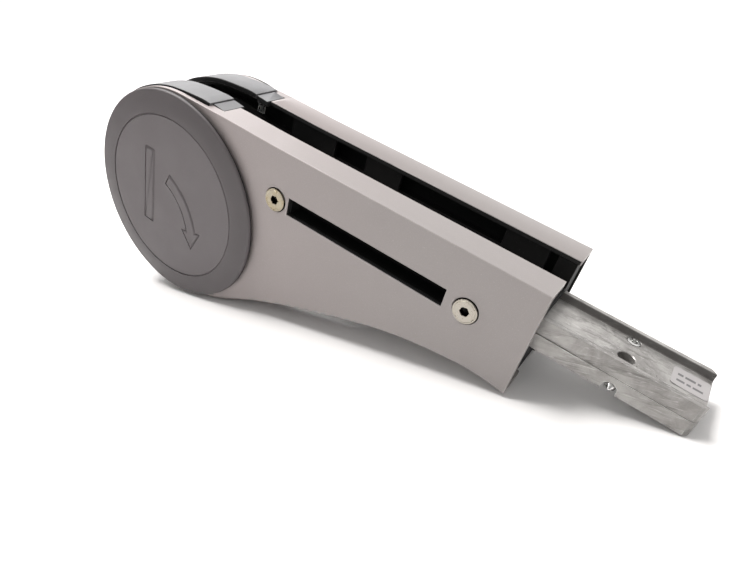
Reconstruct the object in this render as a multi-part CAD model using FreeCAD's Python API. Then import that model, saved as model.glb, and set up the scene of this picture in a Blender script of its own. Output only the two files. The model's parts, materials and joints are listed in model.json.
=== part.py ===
"""Gate opener arm: two painted half shells round a steel and die-cast inner arm.

Every piece is drawn level, in an "arm frame": X along the arm towards the tongue,
Y along the elbow pivot, Z up, with the origin on the pivot axis, midway between the
two painted faces. The finished pieces are then tipped about the pivot, so that the arm
stands on its round end and on the far corner of the tongue, as it does on a table.
The front half is the one on the -Y side, and the rear half is its mirror image.
"""
import FreeCAD, Part
import math
import os

# ---------------------------------------------------------------- driving dimensions
DISC_RADIUS = 60.0            # snap-on pivot caps
ARM_WIDTH = 57.6              # over the two painted faces
GAP_WIDTH = 23.0              # clear gap between the two half shells
ARM_LENGTH = 211.4            # pivot axis to the cut end of the shells
TOP_HEIGHT = 60.0             # straight top edge above the pivot axis
TONGUE_STICKOUT = 69.6        # tongue beyond the cut end of the shells
TONGUE_WIDTH = 33.6
TONGUE_HEIGHT = 16.0
SHEET = 2.4                   # wall of the painted shells
PIN_RADIUS = 10.0

# ---------------------------------------------------------------- fits and clearances
RUNNING = 0.05                # radial clearance of the pivot pin in its bushes
SIDE_PLAY = 0.1               # end float of the turning stack
LOOSE = 0.3                   # clearance between curved faces of different pieces
OVERRUN = 5.0                 # how far a cutting tool runs past the face that it cuts

# ---------------------------------------------------------------- shell
ROUND_RADIUS = DISC_RADIUS + 0.5
FACE = ARM_WIDTH / 2          # painted face, measured from the middle plane
FACE_BACK = FACE - SHEET
GAP_FACE = GAP_WIDTH / 2      # edge of the flanges that looks into the gap
BROW_START = (26.0, 0.5)      # crest beside the rim cover: x, height above the top edge
BROW_MIDDLE = (42.0, 0.3)
BROW_END = 62.0               # from here on the top edge is straight
BELLY_START = -75.0           # degrees on the round end, where the lower edge leaves it
BELLY_POINTS = (              # lower edge: share of the arm length, share of the round radius
    (0.175, -0.857),
    (0.301, -0.610),
    (0.463, -0.348),
    (0.690, -0.052),
    (0.875, 0.075),
)
HEEL_HEIGHT = 5.0             # lower corner of the cut end, above the pivot axis
BELLY_ROUNDING = 2.0
PIVOT_OPENING = 26.0          # radius of the hole behind each cap

# ---------------------------------------------------------------- line of slot, screws and tongue
CENTRE_LINE = TOP_HEIGHT - 26.8
SLOT_START = 78.2
SLOT_END = ARM_LENGTH - 41.6
SLOT_HEIGHT = 9.3
SCREW_X = (70.3, ARM_LENGTH - 30.3)
SCREW_RADIUS = 3.0
SCREW_HEAD_RADIUS = 6.0
SCREW_HEAD_PROUD = 0.9
SCREW_RIM = 0.8               # straight rim of the head
HEX_ACROSS = 4.0
HEX_DEPTH = 2.6
SCREW_BITE = 11.0             # screw length inside the tongue
SCREW_HOLE_SPARE = 2.0        # the hole goes this much deeper
SCREW_HOLE_RADIUS = 3.3
SEAT_PLAY = 0.15              # radial, round the screw head
SPACER_RADIUS = 7.0

# ---------------------------------------------------------------- rim covers
RIM_RADIUS = DISC_RADIUS + 2.0
RIM_THICKNESS = 2.8
RIM_SEAM = 1.1                # open seam between the painted face and the rim cover
RIM_LIP = 3.2                 # the cover stands this far past the flange, into the gap
RIM_END_PLAY = 0.5            # degrees between the end of the cover and the belly flange
KEPT_WALL_TOP = 45.0          # degrees; below this the wall on the arm's side is not set back
BRIDGE_CREST = (11.0, 0.2)    # highest point of the cover beyond the arc: x, height above the arc
TAB_START = 17.5
TAB_END = 25.5
TAB_RISE = 0.8                # root of the snap tab above its tip
TAB_STEP = 0.5                # the cover ends this far above the root of the tab
TAB_SETBACK = 0.4             # side of the tab behind the lip
TAB_INSET = 2.2               # the snap tab is this much narrower than the cover
CLIP_THICKNESS = 0.8
CLIP_MARGIN = 1.5
CLIP_LENGTH = 8.2
CLIP_DROP = 5.0

# ---------------------------------------------------------------- inner arm
TONGUE_START = 56.0
TONGUE_WALL = 4.8
TONGUE_CHANNEL = 3.0
TONGUE_CHAMFER = 2.0
CHEEK_SHARE = 5 / 12          # of the room between the tongue and the back of the painted face
CHEEK_HEAD_RADIUS = 50.0
CHEEK_BEAM_HEIGHT = 26.0
CHEEK_END = ARM_LENGTH - 20.0
CHEEK_WINDOW_MARGIN = 2.2
BOSS_RADIUS = 22.0
BOSS_SETBACK = 1.8            # boss to the back of the painted face
BUSH_PROUD = 0.4
BUSH_RADIUS = 13.0
BUSH_FLANGE_RADIUS = 19.0
BUSH_FLANGE = 2.0
THRUST_WASHER = 1.4
THRUST_RADIUS = 18.0
HUB_SIDE_PLAY = 0.5           # hub to flange edge, each side
LINER_WALL = 1.2
LINER_MARGIN = 3.0
LINER_STEP = 0.4              # the liner's wall shows this far inside the edge of the slot
LINER_END_STEP = 0.8          # and this far at the end nearer the pivot

# ---------------------------------------------------------------- hub, drawn level
HUB_RADIUS = 30.0
FOOT_REACH = 44.0             # pivot axis to the flat that the next link bolts to
FOOT_HALF_HEIGHT = 17.0
FOOT_HOLE_RADIUS = 3.4        # tapping size for M8
FOOT_HOLE_SPACING = 20.0
FOOT_HOLE_DEPTH = 16.0
KEY_WIDTH = 6.0
KEY_HEIGHT = 6.0
PIN_HEAD = 3.4
PIN_HEAD_RADIUS = 15.5
PIN_HEX_ACROSS = 10.0
PIN_HEX_DEPTH = 6.4
END_WASHER = 2.0
END_SCREW_RADIUS = 4.0
END_SCREW_HEAD_RADIUS = 7.5
END_SCREW_HEAD = 2.8
END_SCREW_LENGTH = 16.0       # inside the pin
END_SCREW_SPARE = 2.0         # its hole goes this much deeper
END_HEX_ACROSS = 5.0
END_HEX_DEPTH = 2.0

# ---------------------------------------------------------------- elbow stops
FOLD_LIMIT = 140.0            # hub travel up and over the arm, degrees
BACK_LIMIT = -60.0            # hub travel down and under
STOP_RADIUS = 41.0            # pivot axis to the stop pins
STOP_PIN_RADIUS = 4.0
STOP_SLEEVE_RADIUS = 8.0
STOP_GRACE = 1.0              # degrees left between hub and sleeve at each limit

# ---------------------------------------------------------------- cap
CAP_STANDOFF = 0.4            # shadow gap between cap and painted face
CAP_PROUD = 3.6               # edge of the cap in front of the painted face
CAP_WALL = 2.2
CAP_RING_SHARE = 0.78         # engraved ring, share of the disc radius
CAP_CROWN = 1.4               # the ring stands this far in front of the edge
CAP_DISH = 0.5
CAP_GROOVE = 0.5
COLLAR_WALL = 2.0
SEAT_RADIUS = 52.0            # ring under the cap that rests on the painted face
EMBLEM_RELIEF = 0.5
EMBLEM_CORNER = (-17.0, -22.0)
EMBLEM_STROKE = 7.0
EMBLEM_HEIGHT = 46.0
EMBLEM_SWING = 36.0
EMBLEM_ARC = (14.0, 66.0)     # degrees
EMBLEM_HEAD_ANGLE = 17.0

# ---------------------------------------------------------------- small pieces at the tongue
TONGUE_REACH = ARM_LENGTH + TONGUE_STICKOUT
LOCK_X = TONGUE_REACH - 34.3
LOCK_HOLE_RADIUS = 3.75
LOCK_HOLE_Y = -5.4
FLOOR_SCREW_Y = 9.2
FLOOR_SCREW_RADIUS = 3.0
NOTCH_RADIUS = 3.4
NOTCH_RISE = 1.8              # centre of the arch above the underside of the tongue
CONE_SCREW_RADIUS = 2.5
CONE_POINT_RADIUS = 0.4
CONE_LENGTH = 2.6
CONE_PROUD = 1.0
GRUB_LENGTH = 9.0
GRUB_PROUD = 0.3
GRUB_HEX_ACROSS = 3.0
GRUB_SOCKET_DEPTH = 2.2
LABEL_LENGTH = 15.6
LABEL_WIDTH = 13.5
LABEL_MIDDLE_Y = 1.35
LABEL_THICKNESS = 0.2
LABEL_CORNER = 1.6
LABEL_END_GAP = 0.3
PLUG_THICKNESS = 9.0
PLUG_SETBACK = 1.0
PLUG_FLOOR_GAP = 1.2          # under the plug, to the inside of the lower edge
PLUG_VALLEY = 3.0             # floor of the plug's open middle, above the tongue
PAD_SPANS = ((42.5, 72.4), (92.6, 114.7), (ARM_LENGTH - 37.0, ARM_LENGTH - 14.4))
PAD_THICKNESS = 2.4
PAD_DEPTH = 11.0
PAD_SETBACK = 0.4             # pad behind the edge of the flange
PAD_FOOT_REACH = 8.0          # foot under the flange, from the same edge
PAD_FOOT_STEP = 2.0           # foot shorter than the pad, at each end

TONGUE_BOTTOM = CENTRE_LINE - TONGUE_HEIGHT / 2


def tilt_onto(x, z):
    """Tilt at which a corner of the arm touches the plane that the round end stands on."""
    return math.degrees(math.atan2(z, x) + math.asin(RIM_RADIUS / math.hypot(x, z)))


# the arm comes to rest on whichever corner touches first: the tongue's or the shell's
REST_TILT = min(tilt_onto(TONGUE_REACH, TONGUE_BOTTOM), tilt_onto(ARM_LENGTH, HEEL_HEIGHT))


def vec(x, y, z):
    return FreeCAD.Vector(x, y, z)


def box(x0, x1, y0, y1, z0, z1):
    """A block given by its two ends along each axis."""
    return Part.makeBox(x1 - x0, y1 - y0, z1 - z0, vec(x0, y0, z0))


def disc(radius, y0, y1, x=0.0, z=0.0):
    """A cylinder lying along Y, from y0 to y1."""
    return Part.makeCylinder(radius, y1 - y0, vec(x, y0, z), vec(0, 1, 0))


def ring(outer, inner, y0, y1, x=0.0, z=0.0):
    hole = disc(inner, y0 - OVERRUN, y1 + OVERRUN, x, z)
    return disc(outer, y0, y1, x, z).cut(hole)


def hex_socket(across, y0, y1, x=0.0, z=0.0):
    """A hexagonal prism along Y, sized across its flats."""
    corner = across / math.sqrt(3)
    points = []
    for step in range(7):
        angle = math.radians(60 * step)
        points.append(vec(x + corner * math.cos(angle), y0, z + corner * math.sin(angle)))
    return Part.Face(Part.makePolygon(points)).extrude(vec(0, y1 - y0, 0))


def polar(radius, degrees, y=0.0):
    angle = math.radians(degrees)
    return vec(radius * math.cos(angle), y, radius * math.sin(angle))


def mirror(shape):
    """The same piece in the rear half."""
    return shape.mirror(vec(0, 0, 0), vec(0, 1, 0))


def turned(shape, degrees):
    """A copy turned about the pivot axis."""
    copy = shape.copy()
    copy.rotate(vec(0, 0, 0), vec(0, 1, 0), degrees)
    return copy


def belly_points(inset):
    """The points of the lower edge, moved square to the edge by the inset."""
    heel = HEEL_HEIGHT
    points = [polar(ROUND_RADIUS, BELLY_START)]
    for along, up in BELLY_POINTS:
        points.append(vec(along * ARM_LENGTH, 0, up * ROUND_RADIUS))
    points.append(vec(ARM_LENGTH, 0, heel))
    moved = []
    for index in range(1, len(points)):
        before = points[index - 1]
        after = points[min(index + 1, len(points) - 1)]
        run = (after - before).normalize()
        moved.append(points[index] + vec(-run.z, 0, run.x) * inset)
    moved[-1].x = ARM_LENGTH
    return moved


def outline(round_radius, inset, y, run_out=0.0):
    """Face bounded by the shell's outline, drawn on the plane at y.

    The run-out carries the outline straight on past the cut end, for a cutting tool.
    """
    top = TOP_HEIGHT - inset
    crest = vec(BROW_START[0], 0, top + BROW_START[1])
    crest_angle = math.degrees(math.atan2(crest.z, crest.x))
    crest_distance = max(crest.Length, round_radius * 1.0001)
    brow_angle = crest_angle + math.degrees(math.acos(round_radius / crest_distance))
    brow = polar(round_radius, brow_angle)
    belly_start = polar(round_radius, BELLY_START)
    middle = polar(round_radius, (brow_angle + 360 + BELLY_START) / 2)
    straight = vec(BROW_END, 0, top)
    ease = vec(BROW_MIDDLE[0], 0, top + BROW_MIDDLE[1])
    lower = belly_points(inset)
    heel = lower[-1]
    end_top = vec(ARM_LENGTH + run_out, 0, top)
    end_heel = vec(ARM_LENGTH + run_out, 0, heel.z)

    brow_curve = Part.BSplineCurve()
    rise = math.radians(brow_angle - 90)
    brow_curve.interpolate(Points=[crest, ease, straight],
                           InitialTangent=vec(math.cos(rise), 0, math.sin(rise)),
                           FinalTangent=vec(1, 0, 0))
    belly_curve = Part.BSplineCurve()
    leave = math.radians(BELLY_START + 90)
    belly_curve.interpolate(Points=[belly_start] + lower,
                            InitialTangent=vec(math.cos(leave), 0, math.sin(leave)),
                            FinalTangent=vec(1, 0, 0))
    edges = [
        Part.Arc(brow, middle, belly_start).toShape(),
        belly_curve.toShape(),
        Part.LineSegment(end_heel, end_top).toShape(),
        Part.LineSegment(end_top, straight).toShape(),
        brow_curve.toShape(),
        Part.LineSegment(crest, brow).toShape(),
    ]
    if run_out > 0:
        edges.append(Part.LineSegment(heel, end_heel).toShape())
    face = Part.Face(Part.Wire(Part.__sortEdges__(edges)))
    face.translate(vec(0, y, 0))
    return face


def solid_outline(round_radius, inset, y0, y1, run_out=0.0):
    return outline(round_radius, inset, y0, run_out).extrude(vec(0, y1 - y0, 0))


def countersink(x, face_y, head_radius, proud):
    """Cone under a screw head whose flat top stands proud of the face."""
    rim = head_radius + SEAT_PLAY
    depth = head_radius - SCREW_RADIUS
    seat = face_y - proud + SCREW_RIM
    cone = Part.makeCone(rim, SCREW_HOLE_RADIUS, depth, vec(x, seat, CENTRE_LINE), vec(0, 1, 0))
    return cone.fuse(disc(rim, face_y - OVERRUN, seat, x, CENTRE_LINE))


def shell_wall_radius():
    """Outside of the set-back wall that the rim cover is wrapped round."""
    return RIM_RADIUS - RIM_THICKNESS - LOOSE


def make_front_shell():
    body = solid_outline(ROUND_RADIUS, 0.0, -FACE, -GAP_FACE)
    rounded = []
    for edge in body.Edges:
        middle = edge.CenterOfMass
        on_face = abs(edge.BoundBox.YMax + FACE) < 0.01 and edge.BoundBox.YLength < 0.01
        lower = edge.BoundBox.XMin > 0 and edge.BoundBox.XLength > ARM_LENGTH / 2 and middle.z < 30
        if on_face and lower:
            rounded.append(edge)
    body = body.makeFillet(BELLY_ROUNDING, rounded)
    hollow_radius = shell_wall_radius() - SHEET
    hollow = solid_outline(hollow_radius, SHEET, -FACE_BACK, OVERRUN, OVERRUN)
    body = body.cut(hollow)
    return body.cut(rim_recess()).cut(face_openings())


def rim_recess():
    """Space for the rim cover: everything outside the set-back wall, behind the face."""
    recess = ring(RIM_RADIUS + 2 * OVERRUN, shell_wall_radius(), -FACE_BACK, OVERRUN)
    above = box(-RIM_RADIUS * 2, TAB_END + LOOSE, -FACE_BACK - OVERRUN, OVERRUN * 2,
                -RIM_RADIUS * 2, RIM_RADIUS * 2)
    kept_wall = sector(RIM_RADIUS * 2, BELLY_START, KEPT_WALL_TOP, -FACE_BACK - OVERRUN, OVERRUN * 2)
    beside_tab = box(TAB_START + LOOSE, TAB_END + 2 * LOOSE, -FACE_BACK - OVERRUN, tab_front() - LOOSE,
                     0, RIM_RADIUS * 2)
    return recess.common(above).cut(kept_wall).cut(beside_tab)


def tab_front():
    """Side of the snap tab that faces the painted face."""
    return -FACE_BACK + RIM_SEAM + TAB_INSET


def sector(radius, start, end, y0, y1):
    """A wedge about the pivot axis, from one angle on to the next."""
    points = [vec(0, y0, 0)]
    steps = max(2, int(abs(end - start) / 30))
    for step in range(steps + 1):
        points.append(polar(radius, start + (end - start) * step / steps, y0))
    points.append(vec(0, y0, 0))
    return Part.Face(Part.makePolygon(points)).extrude(vec(0, y1 - y0, 0))


def face_openings():
    """Pivot opening, slot and the two screw seats in the painted face."""
    half = SLOT_HEIGHT / 2
    cuts = disc(PIVOT_OPENING, -FACE - OVERRUN, -FACE_BACK + OVERRUN)
    cuts = cuts.fuse(box(SLOT_START, SLOT_END, -FACE - OVERRUN, -FACE_BACK + OVERRUN,
                         CENTRE_LINE - half, CENTRE_LINE + half))
    for x in SCREW_X:
        cuts = cuts.fuse(disc(SCREW_HOLE_RADIUS, -FACE - OVERRUN, -FACE_BACK + OVERRUN, x, CENTRE_LINE))
        cuts = cuts.fuse(countersink(x, -FACE, SCREW_HEAD_RADIUS, SCREW_HEAD_PROUD))
    return cuts


def make_front_rim_cover():
    """Plastic band round the open rim, ending in a flush snap tab on the top flange."""
    y0 = -FACE_BACK + RIM_SEAM
    y1 = -GAP_FACE + RIM_LIP
    inner = RIM_RADIUS - RIM_THICKNESS
    band = ring(RIM_RADIUS, inner, y0, y1)
    band = band.cut(sector(RIM_RADIUS * 2, BELLY_START - RIM_END_PLAY, 90.0, y0 - OVERRUN, y1 + OVERRUN))
    crest_x, crest_rise = BRIDGE_CREST
    crest = RIM_RADIUS + crest_rise
    tip = TOP_HEIGHT + BROW_START[1]
    root = tip + TAB_RISE
    bridge = side_block([(0.0, RIM_RADIUS), (crest_x, crest), (TAB_START, root + TAB_STEP),
                         (TAB_START, tab_underside()), (crest_x, crest - RIM_THICKNESS), (0.0, inner)],
                        y0, y1)
    tab = side_block([(TAB_START, root), (TAB_END, tip),
                      (TAB_END, tab_underside()), (TAB_START, tab_underside())],
                     tab_front(), y1 - TAB_SETBACK)
    return band.fuse(bridge).fuse(tab).removeSplitter()


def tab_underside():
    """Height of the flat underside of the snap tab, just under the brow of the shell."""
    return TOP_HEIGHT + BROW_START[1] - RIM_THICKNESS


def side_block(corners, y0, y1):
    """A straight-sided block from its corners in side view."""
    points = [vec(x, y0, z) for x, z in corners]
    points.append(points[0])
    return Part.Face(Part.makePolygon(points)).extrude(vec(0, y1 - y0, 0))


def make_front_rim_clip():
    """Spring strip that holds the snap tab down, hooked under the cover's lip."""
    y1 = -GAP_FACE + RIM_LIP - CLIP_THICKNESS
    top = tab_underside()
    x0 = TAB_START + CLIP_MARGIN
    x1 = TAB_END - CLIP_MARGIN
    plate = box(x0, x1, y1 - CLIP_LENGTH, y1, top - CLIP_THICKNESS, top)
    hook = box(x0, x1, y1 - CLIP_THICKNESS, y1, top - CLIP_DROP, top)
    return plate.fuse(hook).removeSplitter()


def make_front_cheek():
    """Steel side plate of the inner arm, with the boss that carries the bush."""
    inner = TONGUE_WIDTH / 2
    outer = cheek_outer()
    half = CHEEK_BEAM_HEIGHT / 2
    plate = disc(CHEEK_HEAD_RADIUS, -outer, -inner)
    plate = plate.fuse(box(0, CHEEK_END, -outer, -inner, CENTRE_LINE - half, CENTRE_LINE + half))
    plate = plate.fuse(disc(BOSS_RADIUS, -boss_outer(), -bush_flange_outer()))
    plate = plate.removeSplitter()
    plate = plate.cut(disc(BUSH_RADIUS, -FACE, 0))
    plate = plate.cut(disc(BUSH_FLANGE_RADIUS + LOOSE, -bush_flange_outer(), 0))
    high = SLOT_HEIGHT / 2 + CHEEK_WINDOW_MARGIN
    plate = plate.cut(box(SLOT_START - LINER_MARGIN, SLOT_END + LINER_MARGIN, -FACE, 0,
                          CENTRE_LINE - high, CENTRE_LINE + high))
    for x in SCREW_X:
        plate = plate.cut(disc(SCREW_HOLE_RADIUS, -FACE, 0, x, CENTRE_LINE))
    for place in stop_places():
        plate = plate.cut(disc(STOP_PIN_RADIUS, -FACE, 0, place.x, place.z))
    return plate


def cheek_outer():
    """Outside of the cheek, which fills a fixed share of the room beside the tongue."""
    inner = TONGUE_WIDTH / 2
    return inner + (FACE_BACK - inner) * CHEEK_SHARE


def hub_half_width():
    return GAP_FACE - HUB_SIDE_PLAY


def thrust_outer():
    return hub_half_width() + THRUST_WASHER


def bush_flange_inner():
    return thrust_outer() + SIDE_PLAY


def bush_flange_outer():
    return bush_flange_inner() + BUSH_FLANGE


def boss_outer():
    return FACE_BACK - BOSS_SETBACK


def bush_end():
    return boss_outer() + BUSH_PROUD


def make_front_bush():
    body = disc(BUSH_RADIUS, -bush_end(), -bush_flange_outer())
    flange = disc(BUSH_FLANGE_RADIUS, -bush_flange_outer(), -bush_flange_inner())
    bore = disc(PIN_RADIUS + RUNNING, -FACE, 0)
    return body.fuse(flange).removeSplitter().cut(bore)


def make_front_slot_liner():
    """Black tray that closes the slot from behind."""
    half = SLOT_HEIGHT / 2
    floor = -TONGUE_WIDTH / 2
    wall = LINER_WALL
    tray = box(SLOT_START - wall, SLOT_END + wall, -FACE_BACK, floor,
               CENTRE_LINE - half - wall, CENTRE_LINE + half + wall)
    brim = box(SLOT_START - LINER_MARGIN * 2, SLOT_END + LINER_MARGIN * 2, -FACE_BACK, -FACE_BACK + wall,
               CENTRE_LINE - half - LINER_MARGIN, CENTRE_LINE + half + LINER_MARGIN)
    pocket = box(SLOT_START + LINER_END_STEP, SLOT_END - LINER_STEP, -FACE, floor - wall,
                 CENTRE_LINE - half + LINER_STEP, CENTRE_LINE + half - LINER_STEP)
    liner = tray.fuse(brim).removeSplitter().cut(pocket)
    for x in SCREW_X:
        liner = liner.cut(disc(SPACER_RADIUS + LOOSE, -FACE, 0, x, CENTRE_LINE))
    return liner


def make_front_spacers():
    """Sleeves between the painted face and the cheek, one round each screw."""
    start = -FACE_BACK
    end = -cheek_outer()
    sleeves = []
    for x in SCREW_X:
        sleeve = ring(SPACER_RADIUS, SCREW_HOLE_RADIUS, start, end, x, CENTRE_LINE)
        sleeves.append(sleeve.cut(countersink(x, -FACE, SCREW_HEAD_RADIUS, SCREW_HEAD_PROUD)))
    return Part.makeCompound(sleeves)


def screw_tip():
    return -TONGUE_WIDTH / 2 + SCREW_BITE


def make_front_screws():
    """Countersunk hexagon socket screws through shell, sleeve and cheek into the tongue."""
    screws = []
    top = -FACE - SCREW_HEAD_PROUD
    seat = top + SCREW_RIM
    for x in SCREW_X:
        head = disc(SCREW_HEAD_RADIUS, top, seat, x, CENTRE_LINE)
        cone = Part.makeCone(SCREW_HEAD_RADIUS, SCREW_RADIUS, SCREW_HEAD_RADIUS - SCREW_RADIUS,
                             vec(x, seat, CENTRE_LINE), vec(0, 1, 0))
        shank = disc(SCREW_RADIUS, seat, screw_tip(), x, CENTRE_LINE)
        socket = hex_socket(HEX_ACROSS, top - OVERRUN, top + HEX_DEPTH, x, CENTRE_LINE)
        screws.append(head.fuse(cone).fuse(shank).removeSplitter().cut(socket))
    return Part.makeCompound(screws)


def make_tongue():
    """Die-cast bar of H section that stiffens the arm and sticks out as a spigot."""
    half = TONGUE_WIDTH / 2
    top = CENTRE_LINE + TONGUE_HEIGHT / 2
    bottom = TONGUE_BOTTOM
    bar = box(TONGUE_START, TONGUE_REACH, -half, half, bottom, top)
    corners = []
    for edge in bar.Edges:
        middle = edge.CenterOfMass
        if abs(middle.x - TONGUE_REACH) < 0.01 and edge.BoundBox.YLength < 0.01:
            corners.append(edge)
    bar = bar.makeChamfer(TONGUE_CHAMFER, corners)
    groove = half - TONGUE_WALL
    for low, high in ((top - TONGUE_CHANNEL, top + OVERRUN), (bottom - OVERRUN, bottom + TONGUE_CHANNEL)):
        bar = bar.cut(box(TONGUE_START - OVERRUN, TONGUE_REACH + OVERRUN, -groove, groove, low, high))
    for x in SCREW_X:
        for side in (-1, 1):
            end = side * half
            start = side * (half - SCREW_BITE - SCREW_HOLE_SPARE)
            bar = bar.cut(disc(SCREW_RADIUS, min(start, end), max(start, end), x, CENTRE_LINE))
    bar = bar.cut(lock_hole(LOCK_HOLE_Y, LOCK_HOLE_RADIUS))
    bar = bar.cut(lock_hole(FLOOR_SCREW_Y, FLOOR_SCREW_RADIUS))
    arch_centre = notch_centre()
    arch = disc(NOTCH_RADIUS, -half - OVERRUN, -half + TONGUE_WALL, LOCK_X, arch_centre)
    mouth = box(LOCK_X - NOTCH_RADIUS, LOCK_X + NOTCH_RADIUS, -half - OVERRUN, -half + TONGUE_WALL,
                bottom - OVERRUN, arch_centre)
    bar = bar.cut(arch.fuse(mouth))
    return bar


def notch_centre():
    return TONGUE_BOTTOM + NOTCH_RISE


def lock_hole(y, radius):
    height = TONGUE_HEIGHT + 2 * OVERRUN
    return Part.makeCylinder(radius, height, vec(LOCK_X, y, TONGUE_BOTTOM - OVERRUN), vec(0, 0, 1))


def make_tongue_set_screws():
    """One flush grub screw in the channel floor and one cone-point screw in the notch."""
    floor = CENTRE_LINE + TONGUE_HEIGHT / 2 - TONGUE_CHANNEL
    grub = disc(FLOOR_SCREW_RADIUS, -GRUB_PROUD, GRUB_LENGTH - GRUB_PROUD)
    grub = grub.cut(hex_socket(GRUB_HEX_ACROSS, -GRUB_PROUD - 1, GRUB_SOCKET_DEPTH))
    grub.rotate(vec(0, 0, 0), vec(1, 0, 0), -90)
    grub.translate(vec(LOCK_X, FLOOR_SCREW_Y, floor))
    half = TONGUE_WIDTH / 2
    centre = notch_centre() + NOTCH_RADIUS - CONE_SCREW_RADIUS
    point = -half - CONE_PROUD
    shank = disc(CONE_SCREW_RADIUS, point + CONE_LENGTH, -half + TONGUE_WALL, LOCK_X, centre)
    tip = Part.makeCone(CONE_POINT_RADIUS, CONE_SCREW_RADIUS, CONE_LENGTH,
                        vec(LOCK_X, point, centre), vec(0, 1, 0))
    return Part.makeCompound([grub, shank.fuse(tip).removeSplitter()])


def make_label():
    """Rounded paper label on the channel floor, at the free end."""
    floor = CENTRE_LINE + TONGUE_HEIGHT / 2 - TONGUE_CHANNEL
    x1 = TONGUE_REACH - LABEL_END_GAP
    plate = box(x1 - LABEL_LENGTH, x1, LABEL_MIDDLE_Y - LABEL_WIDTH / 2, LABEL_MIDDLE_Y + LABEL_WIDTH / 2,
                floor, floor + LABEL_THICKNESS)
    upright = [edge for edge in plate.Edges if edge.BoundBox.ZLength > LABEL_THICKNESS / 2]
    return plate.makeFillet(LABEL_CORNER, upright)


def make_end_plug():
    """Plastic plug in the cut end of the shells, fitted round the tongue."""
    x1 = ARM_LENGTH - PLUG_SETBACK
    x0 = x1 - PLUG_THICKNESS
    low = BELLY_POINTS[-1][1] * ROUND_RADIUS + SHEET + PLUG_FLOOR_GAP
    high = TOP_HEIGHT - SHEET - LOOSE
    width = FACE_BACK - LOOSE
    plug = box(x0, x1, -width, width, low, high)
    valley = CENTRE_LINE + TONGUE_HEIGHT / 2 + PLUG_VALLEY
    plug = plug.cut(box(x0 - 1, x1 + 1, -GAP_FACE, GAP_FACE, valley, high + 1))
    half = TONGUE_WIDTH / 2
    return plug.cut(box(x0 - 1, x1 + 1, -half, half, TONGUE_BOTTOM, CENTRE_LINE + TONGUE_HEIGHT / 2))


def make_front_gap_pads():
    """Sliding pads under the inner edge of the top flange, beside the folded link."""
    pads = []
    top = TOP_HEIGHT - SHEET
    for x0, x1 in PAD_SPANS:
        wall = box(x0, x1, -GAP_FACE - PAD_THICKNESS, -GAP_FACE - PAD_SETBACK, top - PAD_DEPTH, top)
        foot = box(x0 + PAD_FOOT_STEP, x1 - PAD_FOOT_STEP, -GAP_FACE - PAD_FOOT_REACH,
                   -GAP_FACE - PAD_SETBACK, top - PAD_THICKNESS, top)
        pads.append(wall.fuse(foot).removeSplitter())
    return Part.makeCompound(pads)


def hub_angle(link_angle):
    """Arm-frame angle of a direction that is given in the level frame."""
    return link_angle + REST_TILT


def stop_places():
    """Where the two stop pins stand, so that the hub's foot meets them at its limits."""
    reach = math.degrees(math.asin((FOOT_HALF_HEIGHT + STOP_SLEEVE_RADIUS) / STOP_RADIUS))
    fold = 180 - FOLD_LIMIT - reach - STOP_GRACE
    back = 180 - BACK_LIMIT + reach + STOP_GRACE
    return [polar(STOP_RADIUS, hub_angle(fold)), polar(STOP_RADIUS, hub_angle(back))]


def make_stop_pins():
    reach = cheek_outer()
    pins = [disc(STOP_PIN_RADIUS, -reach, reach, place.x, place.z) for place in stop_places()]
    return Part.makeCompound(pins)


def make_stop_sleeves():
    """Rubber sleeves on the stop pins."""
    reach = TONGUE_WIDTH / 2 - LOOSE
    sleeves = []
    for place in stop_places():
        sleeves.append(ring(STOP_SLEEVE_RADIUS, STOP_PIN_RADIUS, -reach, reach, place.x, place.z))
    return Part.makeCompound(sleeves)


def level(shape):
    """Undo the rest tilt for a piece that is drawn level."""
    return turned(shape, -REST_TILT)


def make_pivot_hub():
    """Turning knuckle on the pin; its flat foot takes the next link."""
    half = hub_half_width()
    body = disc(HUB_RADIUS, -half, half)
    body = body.fuse(box(-FOOT_REACH, 0, -half, half, -FOOT_HALF_HEIGHT, FOOT_HALF_HEIGHT))
    body = body.removeSplitter()
    for side in (-1, 1):
        z = side * FOOT_HOLE_SPACING / 2
        body = body.cut(Part.makeCylinder(FOOT_HOLE_RADIUS, FOOT_HOLE_DEPTH,
                                          vec(-FOOT_REACH, 0, z), vec(1, 0, 0)))
    body = body.cut(disc(PIN_RADIUS, -half - 1, half + 1)).cut(key_block(half + 1))
    return level(body)


def key_block(half_length):
    return box(-KEY_WIDTH / 2, KEY_WIDTH / 2, -half_length, half_length,
               PIN_RADIUS - KEY_HEIGHT / 2, PIN_RADIUS + KEY_HEIGHT / 2)


def make_hub_key():
    return level(key_block(hub_half_width()))


def make_pivot_pin():
    """Headed pin, keyed to the hub and turning in both bushes."""
    head_seat = -bush_end() - SIDE_PLAY
    shaft_end = bush_end() + SIDE_PLAY
    pin = disc(PIN_RADIUS, head_seat, shaft_end)
    pin = pin.fuse(disc(PIN_HEAD_RADIUS, head_seat - PIN_HEAD, head_seat)).removeSplitter()
    pin = pin.cut(hex_socket(PIN_HEX_ACROSS, head_seat - PIN_HEAD - OVERRUN,
                             head_seat - PIN_HEAD + PIN_HEX_DEPTH))
    hole_end = shaft_end - END_SCREW_LENGTH - END_SCREW_SPARE
    pin = pin.cut(disc(END_SCREW_RADIUS, hole_end, shaft_end + OVERRUN))
    return level(pin.cut(key_block(hub_half_width())))


def make_pin_end_washer():
    start = bush_end() + SIDE_PLAY
    return level(ring(PIN_HEAD_RADIUS, END_SCREW_RADIUS, start, start + END_WASHER))


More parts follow.
